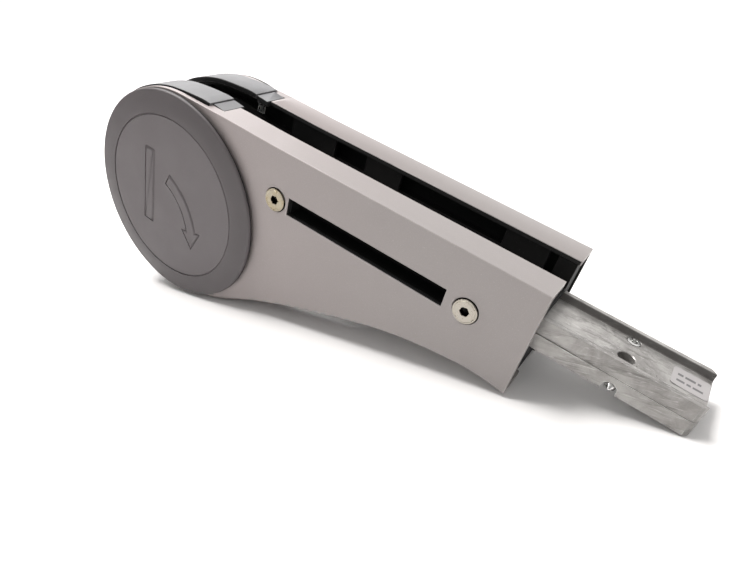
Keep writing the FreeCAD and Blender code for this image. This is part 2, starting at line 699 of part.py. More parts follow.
def make_pin_end_screw():
    start = bush_end() + SIDE_PLAY
    head = disc(END_SCREW_HEAD_RADIUS, start + END_WASHER, start + END_WASHER + END_SCREW_HEAD)
    shank = disc(END_SCREW_RADIUS, start - END_SCREW_LENGTH, start + END_WASHER)
    top = start + END_WASHER + END_SCREW_HEAD
    screw = head.fuse(shank).removeSplitter()
    return level(screw.cut(hex_socket(END_HEX_ACROSS, top - END_HEX_DEPTH, top + OVERRUN)))


def make_front_thrust_washer():
    washer = ring(THRUST_RADIUS, PIN_RADIUS + RUNNING, -thrust_outer(), -hub_half_width())
    return level(washer)


def cap_profile():
    """Half section of the cap in the X-Y plane, with Y pointing away from the viewer."""
    edge = -FACE - CAP_PROUD
    crown = edge - CAP_CROWN
    ring_at = CAP_RING_SHARE * DISC_RADIUS
    back = -FACE - CAP_STANDOFF
    rounding = 1.0
    inner = DISC_RADIUS - CAP_WALL
    points = [
        vec(DISC_RADIUS, back, 0),
        vec(DISC_RADIUS, edge + rounding, 0),
        vec(DISC_RADIUS - rounding, edge, 0),
        vec(ring_at + CAP_GROOVE, crown, 0),
        vec(ring_at, crown + CAP_GROOVE, 0),
        vec(ring_at - 2 * CAP_GROOVE, crown + 0.1, 0),
        vec(0, crown + CAP_DISH, 0),
        vec(0, crown + CAP_DISH + CAP_WALL, 0),
        vec(ring_at, crown + CAP_WALL + 0.1, 0),
        vec(inner, edge + CAP_WALL, 0),
        vec(inner, back, 0),
    ]
    points.append(points[0])
    return Part.Face(Part.makePolygon(points))


def make_plain_cap():
    """Domed cover with a snap collar that pushes into the pivot opening."""
    cap = cap_profile().revolve(vec(0, 0, 0), vec(0, 1, 0), 360)
    collar_outer = PIVOT_OPENING - LOOSE
    roof = -FACE - CAP_PROUD - CAP_CROWN + CAP_DISH + CAP_WALL / 2
    collar = ring(collar_outer, collar_outer - COLLAR_WALL, roof, -FACE_BACK + 0.6)
    seat = ring(SEAT_RADIUS, SEAT_RADIUS - COLLAR_WALL, -FACE - CAP_PROUD + CAP_WALL / 2, -FACE)
    return cap.fuse(collar).fuse(seat)


def make_emblem():
    """Swing-arc relief: a post, a quarter ring and an arrowhead at its end."""
    crown = -FACE - CAP_PROUD - CAP_CROWN
    y0 = crown - EMBLEM_RELIEF + CAP_DISH
    y1 = crown + CAP_WALL - 0.4
    x, z = EMBLEM_CORNER
    half = EMBLEM_STROKE / 2
    post = box(x - half, x + half, y0, y1, z, z + EMBLEM_HEIGHT)
    sweep = sector(2 * EMBLEM_HEIGHT, EMBLEM_ARC[0], EMBLEM_ARC[1], y0, y1).translated(vec(x, 0, z))
    arc = ring(EMBLEM_SWING + half, EMBLEM_SWING - half, y0, y1, x, z).common(sweep)
    tip = polar(EMBLEM_SWING, EMBLEM_ARC[0] - EMBLEM_HEAD_ANGLE)
    left = polar(EMBLEM_SWING - EMBLEM_STROKE, EMBLEM_ARC[0])
    right = polar(EMBLEM_SWING + EMBLEM_STROKE, EMBLEM_ARC[0])
    head = side_block([(x + p.x, z + p.z) for p in (tip, right, left)], y0, y1)
    return post.fuse(arc).fuse(head)


def make_front_cap():
    return make_plain_cap().fuse(make_emblem()).removeSplitter()


def both_halves(name, shape):
    return {"front_" + name: shape, "rear_" + name: mirror(shape)}


def all_pieces():
    pieces = {}
    pieces.update(both_halves("shell", make_front_shell()))
    pieces["front_cap"] = make_front_cap()
    pieces["rear_cap"] = mirror(make_plain_cap().removeSplitter())
    pieces.update(both_halves("rim_cover", make_front_rim_cover()))
    pieces.update(both_halves("rim_clip", make_front_rim_clip()))
    pieces.update(both_halves("cheek", make_front_cheek()))
    pieces.update(both_halves("bush", make_front_bush()))
    pieces.update(both_halves("slot_liner", make_front_slot_liner()))
    pieces.update(both_halves("spacers", make_front_spacers()))
    pieces.update(both_halves("screws", make_front_screws()))
    pieces.update(both_halves("gap_pads", make_front_gap_pads()))
    pieces.update(both_halves("thrust_washer", make_front_thrust_washer()))
    pieces["tongue"] = make_tongue()
    pieces["tongue_set_screws"] = make_tongue_set_screws()
    pieces["label"] = make_label()
    pieces["end_plug"] = make_end_plug()
    pieces["stop_pins"] = make_stop_pins()
    pieces["stop_sleeves"] = make_stop_sleeves()
    pieces["pivot_hub"] = make_pivot_hub()
    pieces["hub_key"] = make_hub_key()
    pieces["pivot_pin"] = make_pivot_pin()
    pieces["pin_end_washer"] = make_pin_end_washer()
    pieces["pin_end_screw"] = make_pin_end_screw()
    return pieces


def main():
    os.makedirs("parts", exist_ok=True)
    for name, shape in all_pieces().items():
        standing = turned(shape, REST_TILT)
        standing.exportStep("parts/" + name + ".step")
        box_ = standing.BoundBox
        print(name, "valid" if standing.isValid() else "INVALID", len(standing.Solids),
              round(standing.Volume, 1), [round(v, 2) for v in
              (box_.XMin, box_.XMax, box_.YMin, box_.YMax, box_.ZMin, box_.ZMax)])
    print("rest tilt", round(REST_TILT, 3))


main()
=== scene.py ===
"""Gate opener arm: the finished look of every piece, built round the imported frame."""
import json
import math
import bmesh
import bpy
from mathutils import Matrix, Vector


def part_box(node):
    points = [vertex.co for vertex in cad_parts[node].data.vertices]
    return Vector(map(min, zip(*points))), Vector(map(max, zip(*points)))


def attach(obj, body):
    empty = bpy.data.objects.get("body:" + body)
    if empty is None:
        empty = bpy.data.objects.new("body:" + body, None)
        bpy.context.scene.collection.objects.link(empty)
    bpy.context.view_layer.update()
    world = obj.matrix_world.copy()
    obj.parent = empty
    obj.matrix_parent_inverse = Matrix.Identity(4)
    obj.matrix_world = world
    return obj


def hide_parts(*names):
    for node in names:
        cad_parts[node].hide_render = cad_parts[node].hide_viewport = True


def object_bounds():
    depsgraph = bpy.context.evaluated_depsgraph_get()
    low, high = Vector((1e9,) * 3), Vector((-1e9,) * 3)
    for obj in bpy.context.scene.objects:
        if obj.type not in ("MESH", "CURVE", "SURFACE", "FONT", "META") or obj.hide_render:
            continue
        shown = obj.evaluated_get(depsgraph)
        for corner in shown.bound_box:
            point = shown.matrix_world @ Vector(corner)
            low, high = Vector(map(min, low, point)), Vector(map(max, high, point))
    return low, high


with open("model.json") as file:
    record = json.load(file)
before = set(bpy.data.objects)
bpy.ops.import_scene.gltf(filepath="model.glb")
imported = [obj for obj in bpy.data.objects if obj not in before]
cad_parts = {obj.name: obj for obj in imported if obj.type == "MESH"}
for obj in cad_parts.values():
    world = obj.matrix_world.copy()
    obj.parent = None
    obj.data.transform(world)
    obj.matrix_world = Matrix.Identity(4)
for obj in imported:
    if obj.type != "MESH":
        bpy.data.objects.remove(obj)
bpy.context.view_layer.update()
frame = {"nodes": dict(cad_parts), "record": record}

# ---------------------------------------------------------------- sizes, in millimetres
MM = 0.001
MOUNTS = {mount["name"]: mount for mount in frame["record"]["mounts"]}
ALONG = Vector(MOUNTS["tongue_spigot"]["axis"])
REST_TILT = math.atan2(-ALONG.z, ALONG.x)
ARM_TO_ROW = Matrix.Rotation(REST_TILT, 4, "Y") @ Matrix.Scale(MM, 4)


def in_arm_frame(place):
    """A place in the standing frame, in metres, as a place along the level arm, in millimetres."""
    return ARM_TO_ROW.inverted() @ Vector(place)


def node_side(node, corner, axis):
    """One side of a node's box in millimetres; corner 0 is the low one and 1 the high one."""
    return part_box(node)[corner][axis] / MM


FACE = -node_side("front_shell", 0, 1)
GAP_FACE = -node_side("front_shell", 1, 1)
DISC_RADIUS = node_side("front_cap", 1, 0)
CAP_FRONT = -node_side("front_cap", 0, 1)
RIM_RADIUS = node_side("front_rim_cover", 1, 2)
RIM_OUTER_Y = -node_side("front_rim_cover", 0, 1)
RIM_INNER_Y = -node_side("front_rim_cover", 1, 1)
SCREW_TOP = -node_side("front_screws", 0, 1)
SCREW_TIP = -node_side("front_screws", 1, 1)
TONGUE_HALF = node_side("tongue", 1, 1)
SPIGOT = in_arm_frame(MOUNTS["tongue_spigot"]["pos_m"])
LOCK = in_arm_frame(MOUNTS["lock_hole"]["pos_m"])
ARM_LENGTH = SPIGOT.x
CENTRE_LINE = SPIGOT.z
LOCK_TO_END = 34.3
TONGUE_REACH = LOCK.x + LOCK_TO_END
OTHER_HALF = Matrix.Scale(-1, 4, (0, 1, 0))

SHEET = 2.4
EDGE_STEPS = 5
PIVOT_OPENING = 26.0
OVERRUN = 6.0                 # how far a cutter runs past the sheet that it cuts
TOP_HEIGHT = CENTRE_LINE + 26.8
ROUND_RADIUS = DISC_RADIUS + 0.5
HEEL_HEIGHT = 5.0
BROW_START = (26.0, 0.5)
BROW_MIDDLE = (42.0, 0.3)
BROW_END = 62.0
BELLY_START = -75.0
BELLY_POINTS = ((0.175, -0.857), (0.301, -0.610), (0.463, -0.348), (0.690, -0.052), (0.875, 0.075))
CRISP_EDGE = 0.45
ROLLED_EDGE = 2.0
SLOT_START = 78.2
SLOT_END = ARM_LENGTH - 41.6
SLOT_HEIGHT = 9.3
SCREW_X = (70.3, ARM_LENGTH - 30.3)
SCREW_HEAD_RADIUS = 6.0
SCREW_RADIUS = 3.0
RIM_THICKNESS = 2.8
RIM_LOOSE = 0.3
RECESS_REACH = 9              # how far the cutters for the rim cover reach past the rim
RECESS_END_Y = 7.0
TAB_START = 17.5
TAB_END = 25.5
TAB_RISE = 0.8
TAB_STEP = 0.5
TAB_INSET = 2.2
TONGUE_START = 56.0
TONGUE_HEIGHT = 16.0
TONGUE_WALL = 3.9
LOCK_HOLE_RADIUS = 3.75
GRUB_HOLE_RADIUS = 3.1
GRUB_HOLE_Y = 9.2
NOTCH_RADIUS = 3.4
NOTCH_DEPTH = 4.6
NOTCH_RISE = 1.8
SPACER_RADIUS = 7.0
STOP_RADIUS = 41.0            # pivot axis to the stop pins
STOP_PIN_RADIUS = 4.0
STOP_SLEEVE_RADIUS = 8.0
STOP_GRACE = 1.0              # degrees left between hub and sleeve at each limit
FOOT_HALF_HEIGHT = 17.0
FOLD_LIMIT = 140.0
BACK_LIMIT = -60.0

FLOOR_SIZE = 9.0
BACKDROP_AWAY = 1.3
BACKDROP_CURVE = 0.8
LIGHT_AIM = Vector((0.1, 0, -0.02))


# ---------------------------------------------------------------- mesh helpers
def new_object(name, verts, faces):
    mesh = bpy.data.meshes.new(name)
    mesh.from_pydata([tuple(v) for v in verts], [], faces)
    obj = bpy.data.objects.new(name, mesh)
    bpy.context.scene.collection.objects.link(obj)
    return obj


def tidy_mesh(obj, merge=1e-5):
    """Merge doubles and point every face outwards."""
    work = bmesh.new()
    work.from_mesh(obj.data)
    bmesh.ops.remove_doubles(work, verts=work.verts, dist=merge)
    bmesh.ops.recalc_face_normals(work, faces=work.faces)
    work.to_mesh(obj.data)
    work.free()


def settle(obj):
    """Turn the modifiers' result into the object's own mesh."""
    graph = bpy.context.evaluated_depsgraph_get()
    mesh = bpy.data.meshes.new_from_object(obj.evaluated_get(graph), preserve_all_data_layers=True,
                                           depsgraph=graph)
    old = obj.data
    obj.modifiers.clear()
    obj.data = mesh
    mesh.name = obj.name
    bpy.data.meshes.remove(old)
    return obj


def drop(obj):
    mesh = obj.data
    bpy.data.objects.remove(obj)
    bpy.data.meshes.remove(mesh)


def combine(obj, tools, operation):
    """Cut the tools out of the object, or join them to it, and remove them."""
    for tool in tools:
        modifier = obj.modifiers.new("carve", "BOOLEAN")
        modifier.operation = operation
        modifier.solver = "EXACT"
        modifier.object = tool
        settle(obj)
        drop(tool)
    return obj


def carve(obj, *tools):
    return combine(obj, tools, "DIFFERENCE")


def loft(name, rings):
    """A closed solid through rings of points that all have the same count."""
    count = len(rings[0])
    verts = [point for ring in rings for point in ring]
    faces = [list(range(count))[::-1]]
    for level in range(len(rings) - 1):
        low = level * count
        high = low + count
        for step in range(count):
            after = (step + 1) % count
            faces.append([low + step, low + after, high + after, high + step])
    faces.append([len(verts) - count + step for step in range(count)])
    obj = new_object(name, verts, faces)
    tidy_mesh(obj)
    return obj


def prism(name, corners, y0, y1):
    """A block with a given side view, from y0 to y1."""
    return loft(name, [[(x, y, z) for x, z in corners] for y in (y0, y1)])


def block(name, x0, x1, y0, y1, z0, z1):
    return prism(name, [(x0, z0), (x1, z0), (x1, z1), (x0, z1)], y0, y1)


def lathe(name, profile, centre=(0.0, 0.0), steps=96):
    """A solid turned about a line along Y; the profile is (radius, y) and runs round the section."""
    verts = []
    rings = []
    for radius, y in profile:
        if radius < 1e-6:
            rings.append([len(verts)] * steps)
            verts.append((centre[0], y, centre[1]))
            continue
        rings.append(list(range(len(verts), len(verts) + steps)))
        for step in range(steps):
            angle = math.tau * step / steps
            verts.append((centre[0] + radius * math.cos(angle), y, centre[1] + radius * math.sin(angle)))
    faces = []
    for first, second in zip(rings, rings[1:] + rings[:1]):
        for step in range(steps):
            after = (step + 1) % steps
            corners = [first[step], first[after], second[after], second[step]]
            corners = list(dict.fromkeys(corners))
            if len(corners) > 2:
                faces.append(corners)
    obj = new_object(name, verts, faces)
    tidy_mesh(obj)
    return obj


def sleeve_profile(outer, inner, start, end, edge):
    """Section of a plain sleeve with small bevels."""
    return [(inner + edge, start), (outer - edge, start), (outer, start + edge), (outer, end - edge),
            (outer - edge, end), (inner + edge, end), (inner, end - edge), (inner, start + edge)]


def rod_profile(radius, start, end, edge=0.0):
    """Section of a rod, with small bevels where an edge is given."""
    if edge == 0:
        return [(0, start), (radius, start), (radius, end), (0, end)]
    return [(0, start), (radius - edge, start), (radius, start + edge), (radius, end - edge),
            (radius - edge, end), (0, end)]


def fillet(before, corner, after, radius, most, steps):
    """Points round a corner; the radius shrinks to a share of the shorter side."""
    before, corner, after = Vector(before), Vector(corner), Vector(after)
    reach = min(radius, (before - corner).length * most, (after - corner).length * most)
    start = corner + (before - corner).normalized() * reach
    end = corner + (after - corner).normalized() * reach
    out = []
    for step in range(steps + 1):
        t = step / steps
        out.append(tuple(start * (1 - t) ** 2 + corner * (2 * t * (1 - t)) + end * t ** 2))
    return out


def rounded(profile, radius):
    """A closed profile with every corner rounded."""
    out = []
    for index, corner in enumerate(profile):
        after = profile[(index + 1) % len(profile)]
        out += fillet(profile[index - 1], corner, after, radius, 0.45, 4)
    return out


def reflect(obj):
    """Turn a piece of one half of the arm into its twin in the other half."""
    obj.data.transform(OTHER_HALF)
    obj.data.flip_normals()


def mirrored(obj, name):
    """A copy in the other half of the arm."""
    copy = bpy.data.objects.new(name, obj.data.copy())
    copy.data.name = name
    bpy.context.scene.collection.objects.link(copy)
    reflect(copy)
    return copy


def mark_faces(obj, name, share):
    """Write a face attribute from a rule that gives each face a value from 0 to 1."""
    mask = obj.data.attributes.new(name, "FLOAT", "FACE")
    for index, face in enumerate(obj.data.polygons):
        mask.data[index].value = share(face)


def polish(obj, angle=32.0):
    """Smooth shading that keeps real corners sharp and flat faces flat."""
    obj.data.shade_smooth()
    obj.data.set_sharp_from_angle(angle=math.radians(angle))
    modifier = obj.modifiers.new("flat faces", "WEIGHTED_NORMAL")
    modifier.keep_sharp = True
    modifier.weight = 80
    settle(obj)


def soften(obj, width):
    """Small rounded edges, as a real tool or mould leaves them."""
    modifier = obj.modifiers.new("edges", "BEVEL")
    modifier.width = width
    modifier.segments = 2
    modifier.limit_method = "ANGLE"
    modifier.angle_limit = math.radians(35.0)
    settle(obj)


# ---------------------------------------------------------------- curves of the shell
def smooth_through(points, start_tangent, end_tangent, steps):
    """Points on a smooth curve through the given ones, without the first."""
    tangents = [Vector(start_tangent).normalized()]
    for index in range(1, len(points) - 1):
        tangents.append((points[index + 1] - points[index - 1]).normalized())
    tangents.append(Vector(end_tangent).normalized())
    out = []
    for index in range(len(points) - 1):
        start = points[index]
        end = points[index + 1]
        chord = (end - start).length
        for step in range(1, steps + 1):
            t = step / steps
            h1 = 2 * t ** 3 - 3 * t ** 2 + 1
            h2 = -2 * t ** 3 + 3 * t ** 2
            h3 = t ** 3 - 2 * t ** 2 + t
            h4 = t ** 3 - t ** 2
            out.append(start * h1 + end * h2 + tangents[index] * (h3 * chord)
                       + tangents[index + 1] * (h4 * chord))
    return out


def polar(radius, degrees):
    angle = math.radians(degrees)
    return Vector((radius * math.cos(angle), radius * math.sin(angle)))


def shell_outline(round_radius, inset=0.0, run_out=0.0):
    """Side view of the shell as (x, z) points, anticlockwise from the brow."""
    top = TOP_HEIGHT - inset
    crest = Vector((BROW_START[0], top + BROW_START[1]))
    brow_angle = math.degrees(math.atan2(crest.y, crest.x) + math.acos(round_radius / crest.length))
    points = [crest]
    arc_steps = 88
    end_angle = 360 + BELLY_START
    for step in range(arc_steps + 1):
        points.append(polar(round_radius, brow_angle + (end_angle - brow_angle) * step / arc_steps))
    belly = [polar(ROUND_RADIUS, BELLY_START)]
    belly += [Vector((along * ARM_LENGTH, up * ROUND_RADIUS)) for along, up in BELLY_POINTS]
    belly.append(Vector((ARM_LENGTH, HEEL_HEIGHT)))
    moved = [points[-1]]
    for index in range(1, len(belly)):
        run = (belly[min(index + 1, len(belly) - 1)] - belly[index - 1]).normalized()
        moved.append(belly[index] + Vector((-run.y, run.x)) * inset)
    moved[-1].x = ARM_LENGTH
    leave = math.radians(BELLY_START + 90)
    points += smooth_through(moved, (math.cos(leave), math.sin(leave)), (1, 0), 14)
    if run_out > 0:
        points.append(Vector((ARM_LENGTH + run_out, points[-1].y)))
    points.append(Vector((ARM_LENGTH + run_out, top)))
    straight = Vector((BROW_END, top))
    points.append(straight)
    rise = math.radians(brow_angle - 90)
    brow = [crest, Vector((BROW_MIDDLE[0], top + BROW_MIDDLE[1])), straight]
    eased = smooth_through(brow, (math.cos(rise), math.sin(rise)), (1, 0), 8)
    points += eased[-2::-1]
    return points


def offset_inwards(points, amounts):
    """Move each point square to the outline, inwards, by its own amount."""
    out = []
    count = len(points)
    for index, point in enumerate(points):
        before = (point - points[index - 1]).normalized()
        after = (points[(index + 1) % count] - point).normalized()
        normal_a = Vector((-before.y, before.x))
        normal_b = Vector((-after.y, after.x))
        middle = (normal_a + normal_b).normalized()
        scale = amounts[index] / max(0.35, middle.dot(normal_a))
        out.append(point + middle * scale)
    return out


def edge_radius(point):
    """Rolled along the belly, crisp everywhere else, with a soft change between."""
    if point.y > HEEL_HEIGHT + 2 or point.x < 12:
        return CRISP_EDGE
    share = min(1.0, (point.x - 12) / 30, max(0.0, (ARM_LENGTH - point.x) / 12))
    return CRISP_EDGE + (ROLLED_EDGE - CRISP_EDGE) * share


# ---------------------------------------------------------------- painted shells
def make_shell():
    """Painted half shell: rolled outer edge, hollow, recess for the rim cover, slot and screw seats."""
    outline = shell_outline(ROUND_RADIUS)
    radii = [edge_radius(point) for point in outline]
    rings = []
    for step in range(EDGE_STEPS + 1):
        angle = math.radians(90 * step / EDGE_STEPS)
        inset = offset_inwards(outline, [radius * (1 - math.sin(angle)) for radius in radii])
        rings.append([(p.x, -FACE + radius * (1 - math.cos(angle)), p.y) for p, radius in zip(inset, radii)])
    rings.append([(p.x, -GAP_FACE - CRISP_EDGE, p.y) for p in outline])
    for inset, depth in ((CRISP_EDGE * 0.3, CRISP_EDGE * 0.3), (CRISP_EDGE, 0.0)):
        lip = offset_inwards(outline, [inset] * len(outline))
        rings.append([(p.x, -GAP_FACE - depth, p.y) for p in lip])
    shell = loft("front_shell_skin", rings)

    wall_radius = RIM_RADIUS - RIM_THICKNESS - RIM_LOOSE
    hollow_line = shell_outline(wall_radius - SHEET, SHEET, OVERRUN)
    hollow = loft("hollow", [[(p.x, y, p.y) for p in hollow_line] for y in (-FACE + SHEET, OVERRUN)])
    carve(shell, hollow, rim_recess(wall_radius), tab_recess())
    carve(shell, slot_tool(), lathe("pivot_opening", rod_profile(PIVOT_OPENING, -FACE - 4, -FACE + OVERRUN)))
    for x in SCREW_X:
        carve(shell, screw_seat(x))
    tidy_mesh(shell, 1e-4)
    polish(shell)
    mark_shaded_inside(shell)
    return shell


def mark_shaded_inside(shell):
    """Mark the faces that get a painted shade of black: the hollow and the flange edges at the gap."""
    outline = shell_outline(ROUND_RADIUS)
    limit = [tuple(point) for point in offset_inwards(outline, [SHEET * 0.6] * len(outline))]

    def shaded_inside(face):
        x, y, z = face.center
        hollow = y > -FACE + 1.0 and (encloses(limit, x, z) or math.hypot(x, z) < ROUND_RADIUS - 1.2)
        edge = y > -GAP_FACE - 0.05
        cut_end = x > ARM_LENGTH - 0.05
        return float((hollow or edge) and not cut_end)

    mark_faces(shell, "inside", shaded_inside)


def encloses(corners, x, z):
    """Whether a point lies inside a closed outline."""
    odd = False
    for (xa, za), (xb, zb) in zip(corners, corners[1:] + corners[:1]):
        if (za > z) != (zb > z) and x < xa + (xb - xa) * (z - za) / (zb - za):
            odd = not odd
    return odd


def rim_recess(wall_radius):
    """Everything outside the set-back wall, from the tab round to the belly."""
    outer = RIM_RADIUS + RECESS_REACH
    start = math.degrees(math.acos(TAB_START / outer))
    end = 360 + BELLY_START - 0.2
    steps = 70
    points = [polar(outer, start + (end - start) * step / steps) for step in range(steps + 1)]
    inner_start = math.degrees(math.acos(TAB_START / wall_radius))
    points += [polar(wall_radius, end + (inner_start - end) * step / steps) for step in range(steps + 1)]
    return prism("rim_recess", [tuple(p) for p in points], -FACE + SHEET, RECESS_END_Y)


def tab_recess():
    """Pocket in the top flange that the snap tab lies in."""
    floor = TOP_HEIGHT + BROW_START[1] - RIM_THICKNESS - 0.4
    return block("tab_recess", TAB_START - 0.5, TAB_END + RIM_LOOSE, tab_front_y() - RIM_LOOSE, RECESS_END_Y,
                 floor, RIM_RADIUS + RECESS_REACH)


def tab_front_y():
    return -RIM_OUTER_Y + TAB_INSET


def slot_tool():
    """Cutter for the slot, flared a little at the painted face."""
    half = SLOT_HEIGHT / 2
    rings = []
    for y, flare in ((-FACE - 1.0, 1.4), (-FACE + 0.4, 0.0), (-FACE + OVERRUN, 0.0)):
        x0, x1 = SLOT_START - flare, SLOT_END + flare
        z0, z1 = CENTRE_LINE - half - flare, CENTRE_LINE + half + flare
        rings.append([(x0, y, z0), (x1, y, z0), (x1, y, z1), (x0, y, z1)])
    return loft("slot_tool", rings)


def screw_seat(x):
    """Cutter for a countersunk seat with a small lead-in."""
    rim = SCREW_HEAD_RADIUS + 0.35
    profile = [(0, -FACE - 3), (rim + 0.3, -FACE - 3), (rim + 0.3, -FACE), (rim, -FACE + 0.3),
               (SCREW_RADIUS + 0.3, -FACE + 3.3), (SCREW_RADIUS + 0.3, -FACE + OVERRUN),
               (0, -FACE + OVERRUN)]
    return lathe("screw_seat", profile, (x, CENTRE_LINE), 64)


# ---------------------------------------------------------------- disc caps
CAP_EDGE = -FACE - 3.6
CAP_RING = 0.78 * DISC_RADIUS
CAP_WALL = 2.2
CAP_LIP = 1.3
CAP_UNDERCUT = 1.6


def cap_profile():
    """Section of the cap as (radius, y): crowned rim, engraved ring and dished middle."""
    crown = -CAP_FRONT
    back = -FACE - 0.4
    neck = DISC_RADIUS - CAP_UNDERCUT
    front = [(neck, back), (neck, CAP_EDGE + 2.3), (DISC_RADIUS - 0.3, CAP_EDGE + 2.2),
             (DISC_RADIUS, CAP_EDGE + 1.9)]
    lip_steps = 6
    for step in range(lip_steps + 1):
        angle = math.radians(90 * step / lip_steps)
        front.append((DISC_RADIUS - CAP_LIP + CAP_LIP * math.cos(angle),
                      CAP_EDGE + CAP_LIP - CAP_LIP * math.sin(angle)))
    slope_steps = 8
    for step in range(1, slope_steps + 1):
        share = step / slope_steps
        radius = DISC_RADIUS - CAP_LIP + (CAP_RING + 0.7 - DISC_RADIUS + CAP_LIP) * share
        front.append((radius, CAP_EDGE + (crown - CAP_EDGE) * math.sin(share * math.pi / 2)))
    front += [(CAP_RING + 0.6, crown + 0.35), (CAP_RING + 0.4, crown + 0.6), (CAP_RING + 0.05, crown + 0.55),
              (CAP_RING - 0.3, crown + 0.05), (CAP_RING - 0.45, crown), (CAP_RING - 0.9, crown)]
    dish_steps = 6
    for step in range(1, dish_steps + 1):
        share = step / dish_steps
        front.append(((CAP_RING - 0.9) * (1 - share), crown + 0.45 * math.sin(share * math.pi / 2)))
    inside = [(0, crown + 0.5 + CAP_WALL), (CAP_RING, crown + CAP_WALL + 0.1),
              (DISC_RADIUS - CAP_WALL, CAP_EDGE + CAP_WALL), (DISC_RADIUS - CAP_WALL, back)]
    return front + inside


EMBLEM_CORNER = (-17.0, -22.0)
EMBLEM_STROKE = 7.0
EMBLEM_HEIGHT = 46.0
EMBLEM_SWING = 36.0
EMBLEM_ARC = (14.0, 66.0)
EMBLEM_HEAD_ANGLE = 17.0


def emblem_outlines():
    """Side views of the relief: a gate post and a swing arrow round it."""
    x, z = EMBLEM_CORNER
    half = EMBLEM_STROKE / 2
    post = [(x - half, z), (x + half, z), (x + half, z + EMBLEM_HEIGHT), (x - half, z + EMBLEM_HEIGHT)]
    start, end = EMBLEM_ARC
    steps = 24
    outer = [polar(EMBLEM_SWING + half, start + (end - start) * step / steps) for step in range(steps + 1)]
    inner = [polar(EMBLEM_SWING - half, end + (start - end) * step / steps) for step in range(steps + 1)]
    head = [polar(EMBLEM_SWING - EMBLEM_STROKE, start), polar(EMBLEM_SWING, start - EMBLEM_HEAD_ANGLE),
            polar(EMBLEM_SWING + EMBLEM_STROKE, start)]
    arrow = [(p.x + x, p.y + z) for p in inner + head + outer]
    return [rounded(post, 0.8), arrow]


def anticlockwise(outline):
    """The outline's points in the order that the inward offset expects."""
    points = [Vector(point) for point in outline]
    area = sum(a.x * b.y - b.x * a.y for a, b in zip(points, points[1:] + points[:1]))
    return points if area > 0 else points[::-1]


def layered(name, outline, steps):
    """A solid from an outline moved inwards by each step's first number, at its second's depth."""
    points = anticlockwise(outline)
    rings = []
    for inset, depth in steps:
        moved = offset_inwards(points, [inset] * len(points))
        rings.append([(p.x, -CAP_FRONT + depth, p.y) for p in moved])
    return loft(name, rings)


def relief(name, outline):
    """A raised shape with sloping, softly rounded sides."""
    return layered(name, outline, ((0.0, 1.9), (0.0, 0.75), (0.35, 0.35), (0.8, 0.07), (1.15, 0.0)))


def moat(name, outline):
    """Cutter for the narrow groove that sets the raised shape off."""
    return layered(name, outline, ((-0.55, -0.8), (-0.5, 0.45), (-0.3, 0.88), (0.3, 0.9)))


def make_cap(name, with_emblem):
    """Disc cap, with the relief in its own groove on the front one."""
    cap = lathe(name, cap_profile(), steps=160)
    if with_emblem:
        carve(cap, *[moat("moat", outline) for outline in emblem_outlines()])
        combine(cap, [relief("relief", outline) for outline in emblem_outlines()], "UNION")
    tidy_mesh(cap, 1e-4)
    # Painted shade: the neck behind the lip is turned black, as the shadow gap under the disc.
    mark_faces(cap, "painted_shade", lambda face: float(face.center.y > CAP_EDGE + 1.2))
    mark_faces(cap, "outer_ring",
               lambda face: float(math.hypot(face.center.x, face.center.z) > CAP_RING + 0.3))
    polish(cap, 28.0)
    return cap


# ---------------------------------------------------------------- geometry node trees
def new_tree(name, inputs):
    """A geometry tree with its group nodes and named inputs."""
    tree = bpy.data.node_groups.new(name, "GeometryNodeTree")
    tree.interface.new_socket("Geometry", in_out="INPUT", socket_type="NodeSocketGeometry")
    for label, kind in inputs:
        tree.interface.new_socket(label, in_out="INPUT", socket_type="NodeSocket" + kind)
    tree.interface.new_socket("Geometry", in_out="OUTPUT", socket_type="NodeSocketGeometry")
    return tree, tree.nodes.new("NodeGroupInput"), tree.nodes.new("NodeGroupOutput")


def join(tree, source, output, target, entry):
    tree.links.new(source.outputs[output], target.inputs[entry])


def end_tree(tree, source, output, entry, leave):
    """Every tree ends in real geometry with its material on."""
    real = tree.nodes.new("GeometryNodeRealizeInstances")
    paint = tree.nodes.new("GeometryNodeSetMaterial")
    join(tree, source, output, real, "Geometry")
    join(tree, real, "Geometry", paint, "Geometry")
    join(tree, entry, "Material", paint, "Material")
    join(tree, paint, "Geometry", leave, "Geometry")


def strip_tree():
    """Sweep a rounded rectangle along the object's own line of edges."""
    tree, entry, leave = new_tree("strip_along_line", [("Width", "Float"), ("Thickness", "Float"),
                                                       ("Rounding", "Float"), ("Material", "Material")])
    path = tree.nodes.new("GeometryNodeMeshToCurve")
    section = tree.nodes.new("GeometryNodeCurvePrimitiveQuadrilateral")
    fillet = tree.nodes.new("GeometryNodeFilletCurve")
    fillet.mode = "POLY"
    fillet.inputs["Count"].default_value = 3
    sweep = tree.nodes.new("GeometryNodeCurveToMesh")
    sweep.inputs["Fill Caps"].default_value = True
    join(tree, entry, "Geometry", path, "Mesh")
    join(tree, entry, "Width", section, "Width")
    join(tree, entry, "Thickness", section, "Height")
    join(tree, section, "Curve", fillet, "Curve")
    join(tree, entry, "Rounding", fillet, "Radius")
    join(tree, path, "Curve", sweep, "Curve")
    join(tree, fillet, "Curve", sweep, "Profile Curve")
    end_tree(tree, sweep, "Mesh", entry, leave)
    return tree


def row_tree():
    """Repeat the object's own mesh at even steps along a line."""
    tree, entry, leave = new_tree("row_of_pieces", [("Count", "Int"), ("Start", "Vector"), ("Step", "Vector"),
                                                    ("Material", "Material")])
    line = tree.nodes.new("GeometryNodeMeshLine")
    line.mode = "OFFSET"
    place = tree.nodes.new("GeometryNodeInstanceOnPoints")
    join(tree, entry, "Count", line, "Count")
    join(tree, entry, "Start", line, "Start Location")
    join(tree, entry, "Step", line, "Offset")
    join(tree, line, "Mesh", place, "Points")
    join(tree, entry, "Geometry", place, "Instance")
    end_tree(tree, place, "Instances", entry, leave)
    return tree


